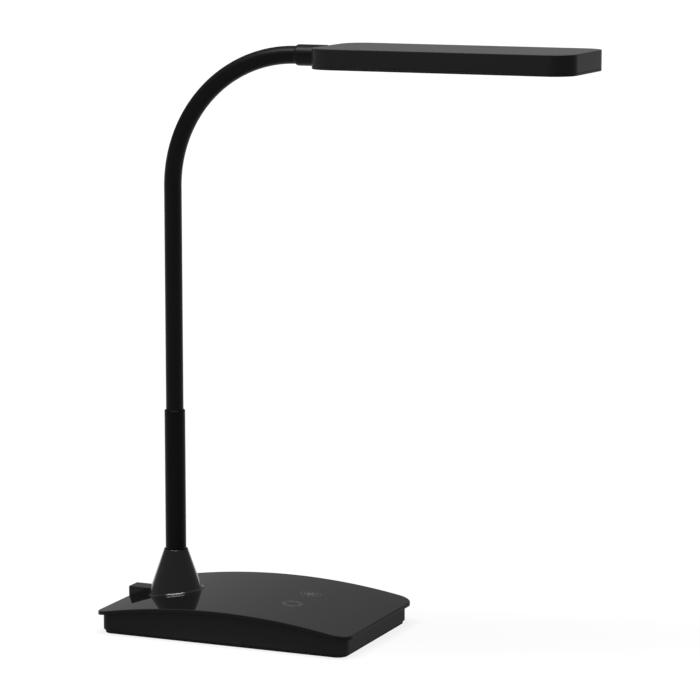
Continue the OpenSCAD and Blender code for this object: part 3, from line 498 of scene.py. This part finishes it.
BRUSHED = "Brushed lines"
FINISHES = {
    "gloss_black": Finish("plate", 0.10, (0.02, 0.07), 260, 4e-7, dust=0.005, smudge=9.0,
                          ior=1.5),
    "plate_edge": Finish("edge", 0.14, (0.24, 0.34), 900, 3e-6, ior=1.09),
    "matte_black": Finish("tray", 0.18, (0.42, 0.54), 1500, 2.5e-5, dust=0.006, ior=1.1),
    "satin_black": Finish("collar", 0.12, (0.12, 0.18), 900, 1.5e-6, dust=0.004, smudge=14.0,
                          ior=1.55),
    "hood_black": Finish("hood", 0.14, (0.10, 0.17), 900, 3e-6, dust=0.004, ior=1.19),
    "ferrule_black": Finish("neck", 0.16, (0.37, 0.43), 1100, 5e-6, dust=0.004, ior=1.2),
    "painted_aluminium": Finish("neck", 0.16, (0.30, 0.40), 1400, 6e-6, dust=0.004, ior=1.14),
    "neck_rubber": Finish("neck", 0.18, (0.36, 0.42), 1100, 9e-6, dust=0.004, ior=1.17),
    "head_black": Finish("moulding", 0.12, (0.14, 0.20), 1300, 4e-6, dust=0.006, ior=1.08),
    "key_mark": Finish("mark", 0.12, (0.3, 0.4), 2500, 2e-6),
    "opal": Finish("opal", 0.02, (0.35, 0.45), 600, 1e-5),
    "rubber_pad": Finish((0.060, 0.060, 0.060), 0.25, (0.75, 0.9), 700, 8e-5, ior=1.2),
    "white_plastic": Finish((0.78, 0.78, 0.76), 0.04, (0.35, 0.5), 900, 2e-5),
    "white_board": Finish((0.74, 0.74, 0.71), 0.05, (0.4, 0.55), 500, 2e-5),
    "circuit_board": Finish((0.012, 0.085, 0.035), 0.2, (0.3, 0.45), 300, 4e-5, "tracks"),
    "chip_black": Finish((0.016, 0.016, 0.017), 0.2, (0.45, 0.6), 1800, 3e-5),
    "led_yellow": Finish((0.78, 0.66, 0.22), 0.08, (0.3, 0.45), 900, 1e-5),
    "wire_skin": Finish((0.42, 0.42, 0.43), 0.06, (0.4, 0.5), 800, 1e-5),
    "bare_steel": Finish((0.48, 0.48, 0.49), 0.12, (0.28, 0.42), 900, 8e-6, BRUSHED,
                         (1, 14, 1), metal=1.0),
    "screw_steel": Finish((0.58, 0.58, 0.58), 0.1, (0.22, 0.36), 1500, 6e-6, BRUSHED,
                          (1, 1, 6), metal=1.0),
    "black_screw": Finish((0.03, 0.03, 0.032), 0.2, (0.3, 0.45), 1500, 6e-6, BRUSHED,
                          (1, 1, 6), metal=0.6),
    "usb_steel": Finish((0.66, 0.67, 0.68), 0.06, (0.16, 0.26), 1200, 3e-6, BRUSHED,
                        (0.1, 1, 1), metal=1.0),
    "bare_aluminium": Finish((0.68, 0.69, 0.70), 0.08, (0.3, 0.42), 800, 6e-6, BRUSHED,
                             (0.08, 1, 1), metal=1.0),
    "brass": Finish((0.72, 0.52, 0.22), 0.1, (0.2, 0.34), 1200, 4e-6, BRUSHED, (1, 1, 5),
                    metal=1.0),
}
DUST_COLOUR, DUST_SCALE = (0.55, 0.54, 0.52, 1), 700.0  # specks per metre
FINE_ROUGHNESS = 0.3  # share of the roughness range that follows the relief
OPAL_DEPTH, OPAL_SHARE = 4 * MM, 0.25  # how deep light spreads in the opal, and how much


def board_tracks(tree, vector, scale):
    """Copper tracks under green lacquer: lines at right angles from the edges of cells."""
    cells = add_node(tree, "TexVoronoi", {"Vector": vector, "Scale": scale, "Randomness": 0.85},
                     distance="CHEBYCHEV", feature="F1")
    wave = maths(tree, "FRACT", times(tree, cells["Distance"], 3.0))
    return ramp(tree, wave, 0.44, 0.5)


def new_material(name):
    """A material, its node tree and its shader."""
    material = bpy.data.materials.new(name)
    material.use_nodes = True
    return material, material.node_tree, material.node_tree.nodes["Principled BSDF"]


def make_finish(name):
    """The named finish as a material: colour, gloss and relief all vary over Object
    coordinates, and what is constant stands on the shader's own sockets."""
    title = name + "_finish"
    if title in bpy.data.materials:
        return bpy.data.materials[title]
    spec = FINISHES[name]
    material, tree, shader = new_material(title)
    place = add_node(tree, "TexCoord", {})["Object"]
    stretched = add_node(tree, "Mapping", {"Vector": place, "Scale": spec.stretch})[0]
    if spec.relief == "tracks":
        shade = height = board_tracks(tree, stretched, spec.scale)
    else:
        relief = effect(tree, spec.relief, stretched, spec.scale)
        shade, height = relief["Shade"], relief["Height"]
    smudge = effect(tree, "Handling", place, spec.smudge)["Smudge"]

    base = spec.colour
    if isinstance(base, str):
        base = getattr(bpy.context.scene.lamp_colours, base)
    darker, lighter = (tuple(min(1, part * share) for part in base) + (1,)
                       for share in (1 - spec.spread, 1 + spec.spread))
    shown = mix_colours(tree, shade, darker, lighter)
    if spec.dust:
        dust = effect(tree, "Settled dust", place, DUST_SCALE, spec.dust)["Dust"]
        shown = mix_colours(tree, dust, shown, DUST_COLOUR)

    low, high = spec.rough
    rough = ramp(tree, smudge, 0.0, 1.0, low, high)
    fine = times(tree, shade, (high - low) * FINE_ROUGHNESS)
    bump = add_node(tree, "Bump", {"Distance": spec.depth, "Height": height})
    set_inputs(tree, shader, {"Base Color": shown, "Normal": bump["Normal"],
                              "Roughness": maths(tree, "ADD", rough, fine),
                              "Metallic": spec.metal, "IOR": spec.ior})
    if name == "opal":
        set_inputs(tree, shader, {"Subsurface Weight": OPAL_SHARE,
                                  "Subsurface Radius": (OPAL_DEPTH,) * 3})
    return material


def dress(piece, body, slot, *nodes, material=None):
    """Gives a piece its finish, rides it on its body and lets it stand for its CAD nodes."""
    piece.data.materials.clear()
    piece.data.materials.append(make_finish(material or slot))
    if nodes:
        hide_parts(*nodes)
    if body:
        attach(piece, body)


# ---------------- operators

class LAMP_OT_base(bpy.types.Operator):
    """Build the tray of the base and the pad under it"""
    bl_idname = "lamp.base"
    bl_label = "Base tray and pad"
    bl_options = {"REGISTER", "UNDO"}

    def execute(self, context):
        sizes = context.scene.lamp_sizes
        self.tray(sizes)
        size, _ = box_size(PAD)
        edge = 0.35 * MM
        profile = np.concatenate([fillet(edge, edge, edge, 270, 180, 4),
                                  fillet(edge, size[2] - edge, edge, 180, 90, 4)])
        outline = rounded_outline(size, sizes.pad_corner)
        pad = build_mesh("pad_skin", *ring_surface(*outline, profile))
        dress(pad, "base", "rubber_pad", "bottom_pad")
        return {"FINISHED"}

    def tray(self, sizes):
        """Tray: foot fillet, outer wall, rim cut to the arch, inner wall and floor. The rim's
        rows of the profile are lifted to just under the plate, so that it follows the arch."""
        size, _ = box_size(TRAY)
        foot, wall, round_r = TRAY[0].z, sizes.tray_wall, sizes.tray_foot
        edge, play, deck = 0.25 * MM, 0.1 * MM, foot + wall
        outline = rounded_outline(size, sizes.tray_corner)
        lower = fillet(round_r, foot + round_r, round_r, 270, 180, 6)
        rim = np.concatenate([fillet(edge, -edge, edge, 180, 90, 4),
                              fillet(wall - edge, -edge, edge, 90, 0, 4)])
        profile = np.concatenate([lower, rim, [(wall, deck + edge), (wall + edge, deck)]])
        upper = np.zeros(len(profile), bool)
        upper[len(lower):len(lower) + len(rim)] = True

        def lift(x):
            rim_z = arch_top(sizes, x, sizes.plate_thick + sizes.plate_lift + play)
            return np.where(upper[:, None], rim_z, 0.0)

        tray = build_mesh("tray_skin", *ring_surface(*outline, profile, lift))
        inlet, inlet_r = box_size(INLET)[1], 4.1 * MM
        cut_from(tray, rod_surface((TRAY[0].x - MM, inlet[1], inlet[2]), (1, 0, 0), inlet_r,
                                   wall + 2 * MM))
        dress(tray, "base", "matte_black", "base_tray")


class LAMP_OT_plate(bpy.types.Operator):
    """Build the arched glossy top plate"""
    bl_idname = "lamp.plate"
    bl_label = "Top plate"
    bl_options = {"REGISTER", "UNDO"}

    def execute(self, context):
        """The plate's outline is joined to the post's hole by straight spokes. Along a spoke
        a point is (1 - t) edge + t hole, and its height is the arch's at that x."""
        sizes = context.scene.lamp_sizes
        outline, normals = rounded_outline(box_size(PLATE)[0], sizes.plate_corner,
                                           along=64, across=44, arc=24)
        level, upright = np.pad(normals, ((0, 0), (0, 1))), np.array((0.0, 0.0, 1.0))
        hub = np.array([POST_X, 0.0])
        hole = hub + sizes.post_hole * unit(outline - hub)
        edge, thick, low_edge = sizes.plate_edge, sizes.plate_thick + sizes.plate_lift, 0.3 * MM
        share = np.linspace(0.0, 1.0, 34) ** 0.9
        top = fillet(edge, -edge, edge, 180, 90, 9)
        bottom = fillet(low_edge, low_edge - thick, low_edge, 270, 180, 5)
        rings, tilts = [], []

        def ring(plan, depth, way):
            rings.append(np.column_stack([plan, arch_top(sizes, plan[:, 0]) + depth]))
            tilts.append(way)

        def arch_normal(plan, sign):
            slope = plan[:, 0] / arch_radius(sizes)
            return sign * np.column_stack([slope, np.zeros(len(plan)), np.sqrt(1 - slope ** 2)])

        for inset, depth in bottom:
            out, up = (low_edge - inset) / low_edge, (depth - low_edge + thick) / low_edge
            ring(outline - inset * normals, depth, out * level + up * upright)
        for inset, depth in top:
            plan = outline - inset * normals
            out, up = (edge - inset) / edge, (depth + edge) / edge
            ring(plan, depth, out * level + up * arch_normal(plan, 1.0))
        for inset, depth, sign, shares in ((edge, 0.0, 1.0, share[1:]),
                                           (low_edge, -thick, -1.0, share[::-1][:-1])):
            start = outline - inset * normals
            for t in shares:
                plan = start + t * (hole - start)
                ring(plan, depth, arch_normal(plan, sign))
        faces = grid_faces(len(rings), len(outline))
        plate = build_mesh("plate_skin", np.concatenate(rings), faces,
                           unit(np.concatenate(tilts)))
        dress(plate, "base", "gloss_black", "top_plate")
        plate.data.materials.append(make_finish("plate_edge"))
        # The glossy face starts with the last row of the upper edge's fillet
        first = len(bottom) + len(top) - 2
        slots = np.ones(len(faces), int)
        slots[first * len(outline):(first + len(share)) * len(outline)] = 0
        plate.data.polygons.foreach_set("material_index", slots)
        return {"FINISHED"}


class LAMP_OT_marks(bpy.types.Operator):
    """Print the rings and signs of the two touch keys on the plate"""
    bl_idname = "lamp.marks"
    bl_label = "Touch key marks"
    bl_options = {"REGISTER", "UNDO"}

    def execute(self, context):
        """Near key: a ring and a thin ring inside it. Far key: a ring and a small sun."""
        sizes = context.scene.lamp_sizes
        radius, near_y = sizes.key_radius, sizes.mark_shift - sizes.key_y
        far_y = sizes.mark_shift + sizes.key_y
        rays, half_ray = 8, 8
        near = [(radius - 0.7 * MM, radius), (radius - 2.8 * MM, radius - 2.0 * MM)]
        far = [(radius - 0.5 * MM, radius), (0.4 * MM, 3.1 * MM)]
        far += [(3.6 * MM, 6.4 * MM, turn - half_ray, turn + half_ray)
                for turn in range(0, 360, 360 // rays)]
        for name, y, bands in (("mark_near", near_y, near), ("mark_far", far_y, far)):
            mark = join_surfaces(*[self.band(sizes, y, *band) for band in bands])
            dress(build_mesh(name, *mark), "base", "gloss_black", material="key_mark")
        return {"FINISHED"}

    def band(self, sizes, y, inner, outer, start=0.0, stop=360.0):
        """Thin band of ink between two radii: a point is centre + radius (cos a, sin a), on
        the arch, with the ink's thickness above it. A full turn closes on itself."""
        ink, bed = 0.03 * MM, 0.004 * MM
        full = stop - start >= 360
        columns = 64 if full else 6
        angle = np.radians(np.linspace(start, stop, columns, endpoint=not full))
        profile = np.array([(inner, bed), (inner, ink), (outer, ink), (outer, bed)])
        plan_x = sizes.key_x + profile[:, 0, None] * np.cos(angle)
        plan_y = y + profile[:, 0, None] * np.sin(angle)
        height = arch_top(sizes, plan_x) + profile[:, 1, None]
        points = np.stack([plan_x, plan_y, height], -1).reshape(-1, 3)
        faces = grid_faces(4, columns)
        if full:
            return points, faces
        faces = np.array(faces).reshape(4, columns, 4)[:, :-1].reshape(-1, 4).tolist()
        first = [row * columns for row in range(4)]
        return points, faces + [first, [corner + columns - 1 for corner in first[::-1]]]


class LAMP_OT_hood(bpy.types.Operator):
    """Build the hood over the port behind the collar"""
    bl_idname = "lamp.hood"
    bl_label = "Port hood"
    bl_options = {"REGISTER", "UNDO"}

    def execute(self, context):
        """Block with rounded edges: outline rings whose lowest row follows the arch."""
        sizes = context.scene.lamp_sizes
        size, middle = box_size(HOOD)
        post_gap, bed, edge = 22.3 * MM, 0.06 * MM, sizes.hood_edge
        x0, x1, crown = HOOD[0].x, POST_X - post_gap, HOOD[1].z
        outline = rounded_outline((x1 - x0, size[1]), edge * 1.01,
                                  ((x0 + x1) / 2, middle[1]), 12, 8, 8)
        profile = np.concatenate([[(0.0, bed)], fillet(edge, crown - edge, edge, 180, 90)])
        lowest = np.arange(len(profile)) == 0

        def lift(x):
            return np.where(lowest[:, None], arch_top(sizes, x), 0.0)

        hood = build_mesh("hood_skin", *ring_surface(*outline, profile, lift))
        low, high = np.array(PORT[0]), np.array(PORT[1])
        gap = 0.15 * MM
        cut_from(hood, block_surface((x0 - MM, low[1] - gap, low[2] - gap), high + gap))
        dress(hood, "base", "satin_black", "port_hood", material="hood_black")
        return {"FINISHED"}


class LAMP_OT_collar(bpy.types.Operator):
    """Build the cone collar that flares out on the arched plate"""
    bl_idname = "lamp.collar"
    bl_label = "Collar"
    bl_options = {"REGISTER", "UNDO"}

    def execute(self, context):
        """In each upright plane through the post, the cone's line and the plate's line are
        joined by an arc: its centre lies on their bisector at radius / sin(half the angle), and
        it touches both at radius / tan(half the angle) from where they cross."""
        sizes = context.scene.lamp_sizes
        steps, arc_steps = 120, 14
        slope, flare, wall = sizes.collar_slope, sizes.collar_flare, sizes.collar_wall
        bore, lip = SLEEVE_R + 0.1 * MM, 1.5 * MM
        edge, rim, bed = 0.5 * MM, 0.25 * MM, 0.03 * MM
        top_z, top_r = COLLAR[1].z, bore + lip
        angle = turns(steps)
        run = np.cos(angle)
        # Where the cone's line meets the plate, by repeated steps
        radius = np.full(steps, top_r + (top_z - PLATE[1].z) * np.tan(slope))
        for _ in range(8):
            radius = top_r + (top_z - arch_top(sizes, POST_X + radius * run)) * np.tan(slope)
        x = POST_X + radius * run
        cross = np.stack([radius, arch_top(sizes, x)], -1)
        grade = -x / np.sqrt(arch_radius(sizes) ** 2 - x * x) * run
        up = np.broadcast_to((-np.sin(slope), np.cos(slope)), (steps, 2))
        out = unit(np.stack([np.ones(steps), grade], -1))
        half = np.arccos((up * out).sum(1))[:, None] / 2
        centre = cross + unit(up + out) * (flare / np.sin(half))
        touch_cone = cross + up * (flare / np.tan(half))
        touch_plate = cross + out * (flare / np.tan(half))
        first, last = touch_cone - centre, touch_plate - centre
        a0, a1 = np.arctan2(first[:, 1], first[:, 0]), np.arctan2(last[:, 1], last[:, 0])
        share = np.linspace(0.0, 1.0, arc_steps)[:, None]
        turn = a0 + share * ((a1 - a0) % (2 * np.pi))
        arc = centre[None] + flare * np.stack([np.cos(turn), np.sin(turn)], -1)
        arc[..., 1] += rim * share
        # Rows of the closed profile: bore, crown, cone, arc, rim on the plate, and the inside
        crown = fillet(0.0, 0.0, edge, 0, 180, 9) + (top_r - edge, top_z - edge)
        inner_r = top_r + 6 * MM * np.tan(slope) - wall
        foot, under = touch_plate + out * 0.1 * MM, cross - out * wall * 0.6
        rows = [np.broadcast_to(point, (steps, 2)) for point in
                [(bore, top_z - 6 * MM)] + crown[::-1].tolist()]
        rows += [crown[0] * (1 - part) + touch_cone * part for part in np.linspace(0.1, 0.9, 8)]
        rows += list(arc)
        rows += [foot + (0.0, 0.45 * rim), foot + (-0.1 * MM, bed), under + (0.0, bed),
                 under + (-0.4 * wall, 1.5 * MM),
                 np.broadcast_to((inner_r, top_z - 7 * MM), (steps, 2))]
        rows = np.array(rows)
        points = np.stack([POST_X + rows[..., 0] * run, rows[..., 0] * np.sin(angle),
                           rows[..., 1]], -1)
        collar = build_mesh("collar_skin", points.reshape(-1, 3), grid_faces(len(rows), steps))
        dress(collar, "base", "satin_black", "collar")
        return {"FINISHED"}


class LAMP_OT_sleeve(bpy.types.Operator):
    """Build the rigid sleeve of the post and the ferrule at the head"""
    bl_idname = "lamp.sleeve"
    bl_label = "Sleeve and ferrule"
    bl_options = {"REGISTER", "UNDO"}

    def execute(self, context):
        sizes = context.scene.lamp_sizes
        bore = sizes.neck_radius + 0.1 * MM
        low, high = SLEEVE[0].z, SLEEVE[1].z
        edge, fine = 1.15 * MM, 0.2 * MM
        rows = np.concatenate([
            [(bore, low + fine), (bore + fine, low), (SLEEVE_R - fine, low),
             (SLEEVE_R, low + fine)],
            fillet(SLEEVE_R - edge, high - edge, edge, 0, 90),
            fillet(bore + fine, high - fine, fine, 90, 180, 4)])
        sleeve = build_mesh("sleeve_skin", *revolve(rows, (POST_X, 0, 0), (0, 0, 1)))
        dress(sleeve, "base", "painted_aluminium", "sleeve_tube")
        self.ferrule(sizes, bore)
        return {"FINISHED"}

    def ferrule(self, sizes, bore):
        """Turned profile: its nose is a quarter ellipse, with the hose's seat and the spigot's
        bore inside."""
        start = FERRULE[0].x + sizes.ferrule_in
        long, deep = FERRULE[1].x - start, 20 * MM - sizes.ferrule_in
        nose, face, fine, spigot = 2.6 * MM, 0.9 * MM, 0.25 * MM, 4.1 * MM
        shoulder = np.radians(np.linspace(90, 0, 9)[1:])
        front = np.column_stack([FERRULE_R - face + face * np.cos(shoulder),
                                 nose - nose * np.sin(shoulder)])
        rows = np.concatenate([
            [(spigot, long), (spigot, deep + 0.2 * MM), (bore, deep)],
            fillet(bore + fine, fine, fine, 180, 270, 4), front,
            fillet(FERRULE_R - fine, long - fine, fine, 0, 90, 4)])
        ferrule = build_mesh("ferrule_skin", *revolve(rows, (start, 0, AXIS_Z), (1, 0, 0)))
        dress(ferrule, "head", "satin_black", "ferrule", material="ferrule_black")


class LAMP_OT_neck(bpy.types.Operator):
    """Build the hose of the neck, one stretch round each joint"""
    bl_idname = "lamp.neck"
    bl_label = "Neck"
    bl_options = {"REGISTER", "UNDO"}

    ROOT_IN, TIP_IN = 12 * MM, 18 * MM  # hose inside the sleeve, and past the arc's end
    BEND_SHARE = 0.94  # share of the way to a stretch's nearer end
    ROW_STEP = 1.4 * MM

    def execute(self, context):
        """Each stretch is a tube from half-way before its joint to half-way past it, so that
        neighbours meet."""
        sizes = context.scene.lamp_sizes
        straight, arc = neck_straight(sizes), sizes.neck_arc
        total = straight + arc * math.pi / 2
        joints = sorted(frame["joints"], key=lambda joint: joint["name"][-2:])
        places = np.array([joint["pos_m"] for joint in joints])
        turn = np.arctan2(places[:, 2] - (AXIS_Z - arc), POST_X + arc - places[:, 0])
        along = np.where(places[:, 2] < AXIS_Z - arc + 1e-6,
                         places[:, 2] - SLEEVE[1].z, straight + arc * turn)
        bounds = np.concatenate([[-self.ROOT_IN], (along[:-1] + along[1:]) / 2,
                                 [total + self.TIP_IN]])
        links = sorted(node for node in frame["nodes"] if node.startswith("neck_link"))
        stands_for = [["neck_root"]] + [[link] for link in links]
        stands_for[-1].append("neck_tip")
        for number, joint in enumerate(joints):
            s0, s1, at = bounds[number], bounds[number + 1], along[number]
            piece = self.stretch(sizes, f"neck_hose_{number + 1:02d}", s0, s1)
            dress(piece, None, "neck_rubber", *stands_for[number])
            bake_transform(piece)
        return {"FINISHED"}

    def stretch(self, sizes, name, s0, s1, steps=56):
        """Capped tube: a point is line(s) + radius (cos a n + sin a y)."""
        rows = max(8, int(math.ceil((s1 - s0) / self.ROW_STEP)) + 1)
        line, turn = neck_line(sizes, np.linspace(s0, s1, rows))
        normal = np.stack([np.cos(turn), np.zeros(rows), -np.sin(turn)], -1)
        angle = turns(steps)
        spoke = (np.cos(angle)[None, :, None] * normal[:, None]
                 + np.sin(angle)[None, :, None] * np.array((0.0, 1.0, 0.0)))
        points = (line[:, None] + sizes.neck_radius * spoke).reshape(-1, 3)
        return build_mesh(name, points, capped_faces(rows, steps), spoke.reshape(-1, 3))


class LAMP_OT_head(bpy.types.Operator):
    """Build the shell and the bezel of the head"""
    bl_idname = "lamp.head"
    bl_label = "Head shell and bezel"
    bl_options = {"REGISTER", "UNDO"}

    COUNTS = (48, 14, 28)  # steps of the outlines: along, across and round each corner

    def execute(self, context):
        sizes = context.scene.lamp_sizes
        size, middle = box_size(SHELL)
        outline = rounded_outline(size, sizes.head_corner, middle[:2], *self.COUNTS)
        low, high = SHELL[0].z, SHELL[1].z
        edge, wall, rim, inside = sizes.head_edge, sizes.head_wall, 0.2 * MM, 0.4 * MM
        profile = np.concatenate([
            [(wall + 0.6 * MM, high - wall)],
            fillet(wall + inside, high - wall - inside, inside, 90, 180, 4),
            fillet(wall - rim, low + rim, rim, 0, -90, 4),
            fillet(rim, low + rim, rim, 270, 180, 4),
            fillet(edge, high - edge, edge, 180, 90, 9), [(edge + MM, high)]])
        shell = build_mesh("head_skin", *ring_surface(*outline, profile))
        dress(shell, "head", "head_black", "head_shell")
        self.bezel(sizes)
        return {"FINISHED"}

    def bezel(self, sizes):
        """Frame between the head's outline and the window's. Rows of the profile hang from the
        outer outline, and past the border's middle from the window's."""
        size, middle = box_size(BEZEL)
        low, high = BEZEL[0].z, BEZEL[1].z
        border, ledge, corner = sizes.bezel_border, 2.2 * MM, sizes.head_corner
        edge, fine, lip = sizes.head_edge, 0.3 * MM, 0.25 * MM
        outer = rounded_outline(size, corner, middle[:2], *self.COUNTS)
        inner = rounded_outline(size - 2 * border, corner - border + 1.5 * MM, middle[:2],
                                *self.COUNTS)
        from_outer = np.concatenate([fillet(edge, low + edge, edge, 270, 180, 9),
                                     fillet(fine, high - fine, fine, 180, 90, 5)])
        from_inner = np.array([(-ledge - fine, high), (-ledge, high - fine), (-ledge, low + MM),
                               (-lip, low + MM), (0.0, low + 0.75 * MM), (0.0, low + lip),
                               (-lip, low)])
        rings = [np.column_stack([base - inset * way, np.full(len(base), height)])
                 for (base, way), rows in ((outer, from_outer), (inner, from_inner))
                 for inset, height in rows]
        faces = grid_faces(len(rings), len(outer[0]))
        bezel = build_mesh("bezel_skin", np.concatenate(rings), faces)
        # Recesses of the six screws, cut from 1 mm below
        screw_in, screw_r, screw_reach = 6.5 * MM, 2.7 * MM, 2.3 * MM
        holes = [rod_surface((middle[0] + x * (size[0] / 2 - corner),
                              middle[1] + y * (size[1] / 2 - screw_in), low - MM),
                             (0, 0, 1), screw_r, screw_reach)
                 for x in (-1, 0, 1) for y in (-1, 1)]
        cut_from(bezel, join_surfaces(*holes))
        dress(bezel, "head", "head_black", "head_bezel")


class LAMP_OT_inside(bpy.types.Operator):
    """Give the pieces inside and underneath their finishes"""
    bl_idname = "lamp.inside"
    bl_label = "Inner pieces"
    bl_options = {"REGISTER", "UNDO"}

    def execute(self, context):
        for name, piece in frame["nodes"].items():
            if not piece.hide_render:
                dress(piece, None, SLOT_OF[name])
        return {"FINISHED"}


class LAMP_OT_studio(bpy.types.Operator):
    """Lay the floor, hang the light and set the camera"""
    bl_idname = "lamp.studio"
    bl_label = "Studio"
    bl_options = {"REGISTER", "UNDO"}

    AZIMUTH, ELEVATION = math.radians(23.10), math.radians(9.033)
    CAMERA_AT, LENS, SENSOR = (1.1861, -2.5594, 0.7052), 162.6, 36.0  # metres, mm, mm
    # The softbox hangs level over the lamp, with its long side across the view
    LIGHT_AT, LIGHT_WIDTH, LIGHT_DEPTH, WATTS = (-0.16, -0.32, 2.20), 2.1, 0.50, 72.0
    FLOOR_REACH, WHITE = 30.0, 1.05  # metres, and the seen floor's level, just over white

    def execute(self, context):
        sky = tuple(context.scene.lamp_colours.sky)
        self.floor(tuple(context.scene.lamp_colours.floor), sky[0])
        self.light(sky)
        self.camera()
        return {"FINISHED"}

    def floor(self, shade, sky):
        """Pale floor. The softbox at height h lights it by fall = (1 + (r / h)^2)^-2 at r from
        its foot, and emission makes up the rest, so that the floor is as white at the horizon
        as round the lamp, and shows the lamp's shadow."""
        corners = self.FLOOR_REACH * np.array([(-1, -1, 0), (1, -1, 0), (1, 1, 0), (-1, 1, 0)])
        floor = build_mesh("floor", corners, [[0, 1, 2, 3]], smooth=False)
        material, tree, shader = new_material("studio_floor")
        x, y, height = self.LIGHT_AT
        where = add_node(tree, "TexCoord", {})["Object"]
        away = add_node(tree, "VectorMath", {0: where, 1: (x, y, 0.0)}, operation="DISTANCE")
        ratio = maths(tree, "DIVIDE", away["Value"], height)
        spread = maths(tree, "ADD", times(tree, ratio, ratio), 1.0)
        fall = maths(tree, "DIVIDE", 1.0, times(tree, spread, spread))
        lit = shade[0] * self.WATTS / (math.pi * height) ** 2
        fill = maths(tree, "SUBTRACT", self.WHITE - shade[0] * sky, times(tree, fall, lit))
        rays = add_node(tree, "LightPath", {})
        seen = maths(tree, "ADD", rays["Is Camera Ray"], rays["Is Glossy Ray"])
        seen = maths(tree, "ADD", seen, rays["Is Transmission Ray"], clamp=True)
        glow = times(tree, seen, fill)
        set_inputs(tree, shader, {
            "Base Color": shade + (1,), "Roughness": 0.9, "Specular IOR Level": 0.0,
            "Emission Color": (1, 1, 1, 1), "Emission Strength": glow})
        floor.data.materials.append(material)

    def light(self, sky):
        """An even sky, and a softbox in front."""
        world = bpy.data.worlds.new("studio")
        world.use_nodes = True
        set_inputs(world.node_tree, world.node_tree.nodes["Background"],
                   {"Color": sky + (1,), "Strength": 1.0})
        bpy.context.scene.world = world
        light = bpy.data.lights.new("front", "AREA")
        light.shape, light.energy = "RECTANGLE", self.WATTS
        light.size, light.size_y = self.LIGHT_WIDTH, self.LIGHT_DEPTH
        softbox = link_object("front", light)
        softbox.location = self.LIGHT_AT
        softbox.rotation_euler = (0.0, 0.0, self.AZIMUTH)

    def camera(self):
        """Pinhole camera: looks along F = (-sin a cos e, cos a cos e, -sin e)."""
        azimuth, elevation = self.AZIMUTH, self.ELEVATION
        ahead = Vector((-math.sin(azimuth) * math.cos(elevation),
                        math.cos(azimuth) * math.cos(elevation), -math.sin(elevation)))
        right = Vector((math.cos(azimuth), math.sin(azimuth), 0.0))
        turned = Matrix((right, right.cross(ahead), -ahead)).transposed().to_4x4()
        data = bpy.data.cameras.new("camera")
        data.sensor_width, data.lens = self.SENSOR, self.LENS
        data.clip_start, data.clip_end = 0.05, 60.0
        camera = link_object("camera", data)
        camera.matrix_world = Matrix.Translation(self.CAMERA_AT) @ turned
        bpy.context.scene.camera = camera
        bpy.context.scene.view_settings.view_transform = "Standard"


OPERATORS = (LAMP_OT_base, LAMP_OT_plate, LAMP_OT_marks, LAMP_OT_hood, LAMP_OT_collar,
             LAMP_OT_sleeve, LAMP_OT_neck, LAMP_OT_head, LAMP_OT_inside, LAMP_OT_studio)


class LAMP_PT_panel(bpy.types.Panel):
    """Lists the lamp's operators, sizes and colours"""
    bl_idname = "LAMP_PT_panel"
    bl_label = "Desk Lamp"
    bl_space_type = "VIEW_3D"
    bl_region_type = "UI"
    bl_category = "Desk Lamp"

    def draw(self, context):
        column = self.layout.column(align=True)
        for operator in OPERATORS:
            column.operator(operator.bl_idname)
        for group in (context.scene.lamp_colours, context.scene.lamp_sizes):
            box = self.layout.box()
            for name in group.__annotations__:
                box.prop(group, name)


CLASSES = (LampSizes, LampColours) + OPERATORS + (LAMP_PT_panel,)


def register():
    for item in CLASSES:
        bpy.utils.register_class(item)
    bpy.types.Scene.lamp_sizes = PointerProperty(type=LampSizes)
    bpy.types.Scene.lamp_colours = PointerProperty(type=LampColours)


def unregister():
    del bpy.types.Scene.lamp_colours
    del bpy.types.Scene.lamp_sizes
    for item in reversed(CLASSES):
        bpy.utils.unregister_class(item)


def main():
    register()
    for operator in OPERATORS:
        area, name = operator.bl_idname.split(".")
        getattr(getattr(bpy.ops, area), name)()


if __name__ == "__main__":
    main()
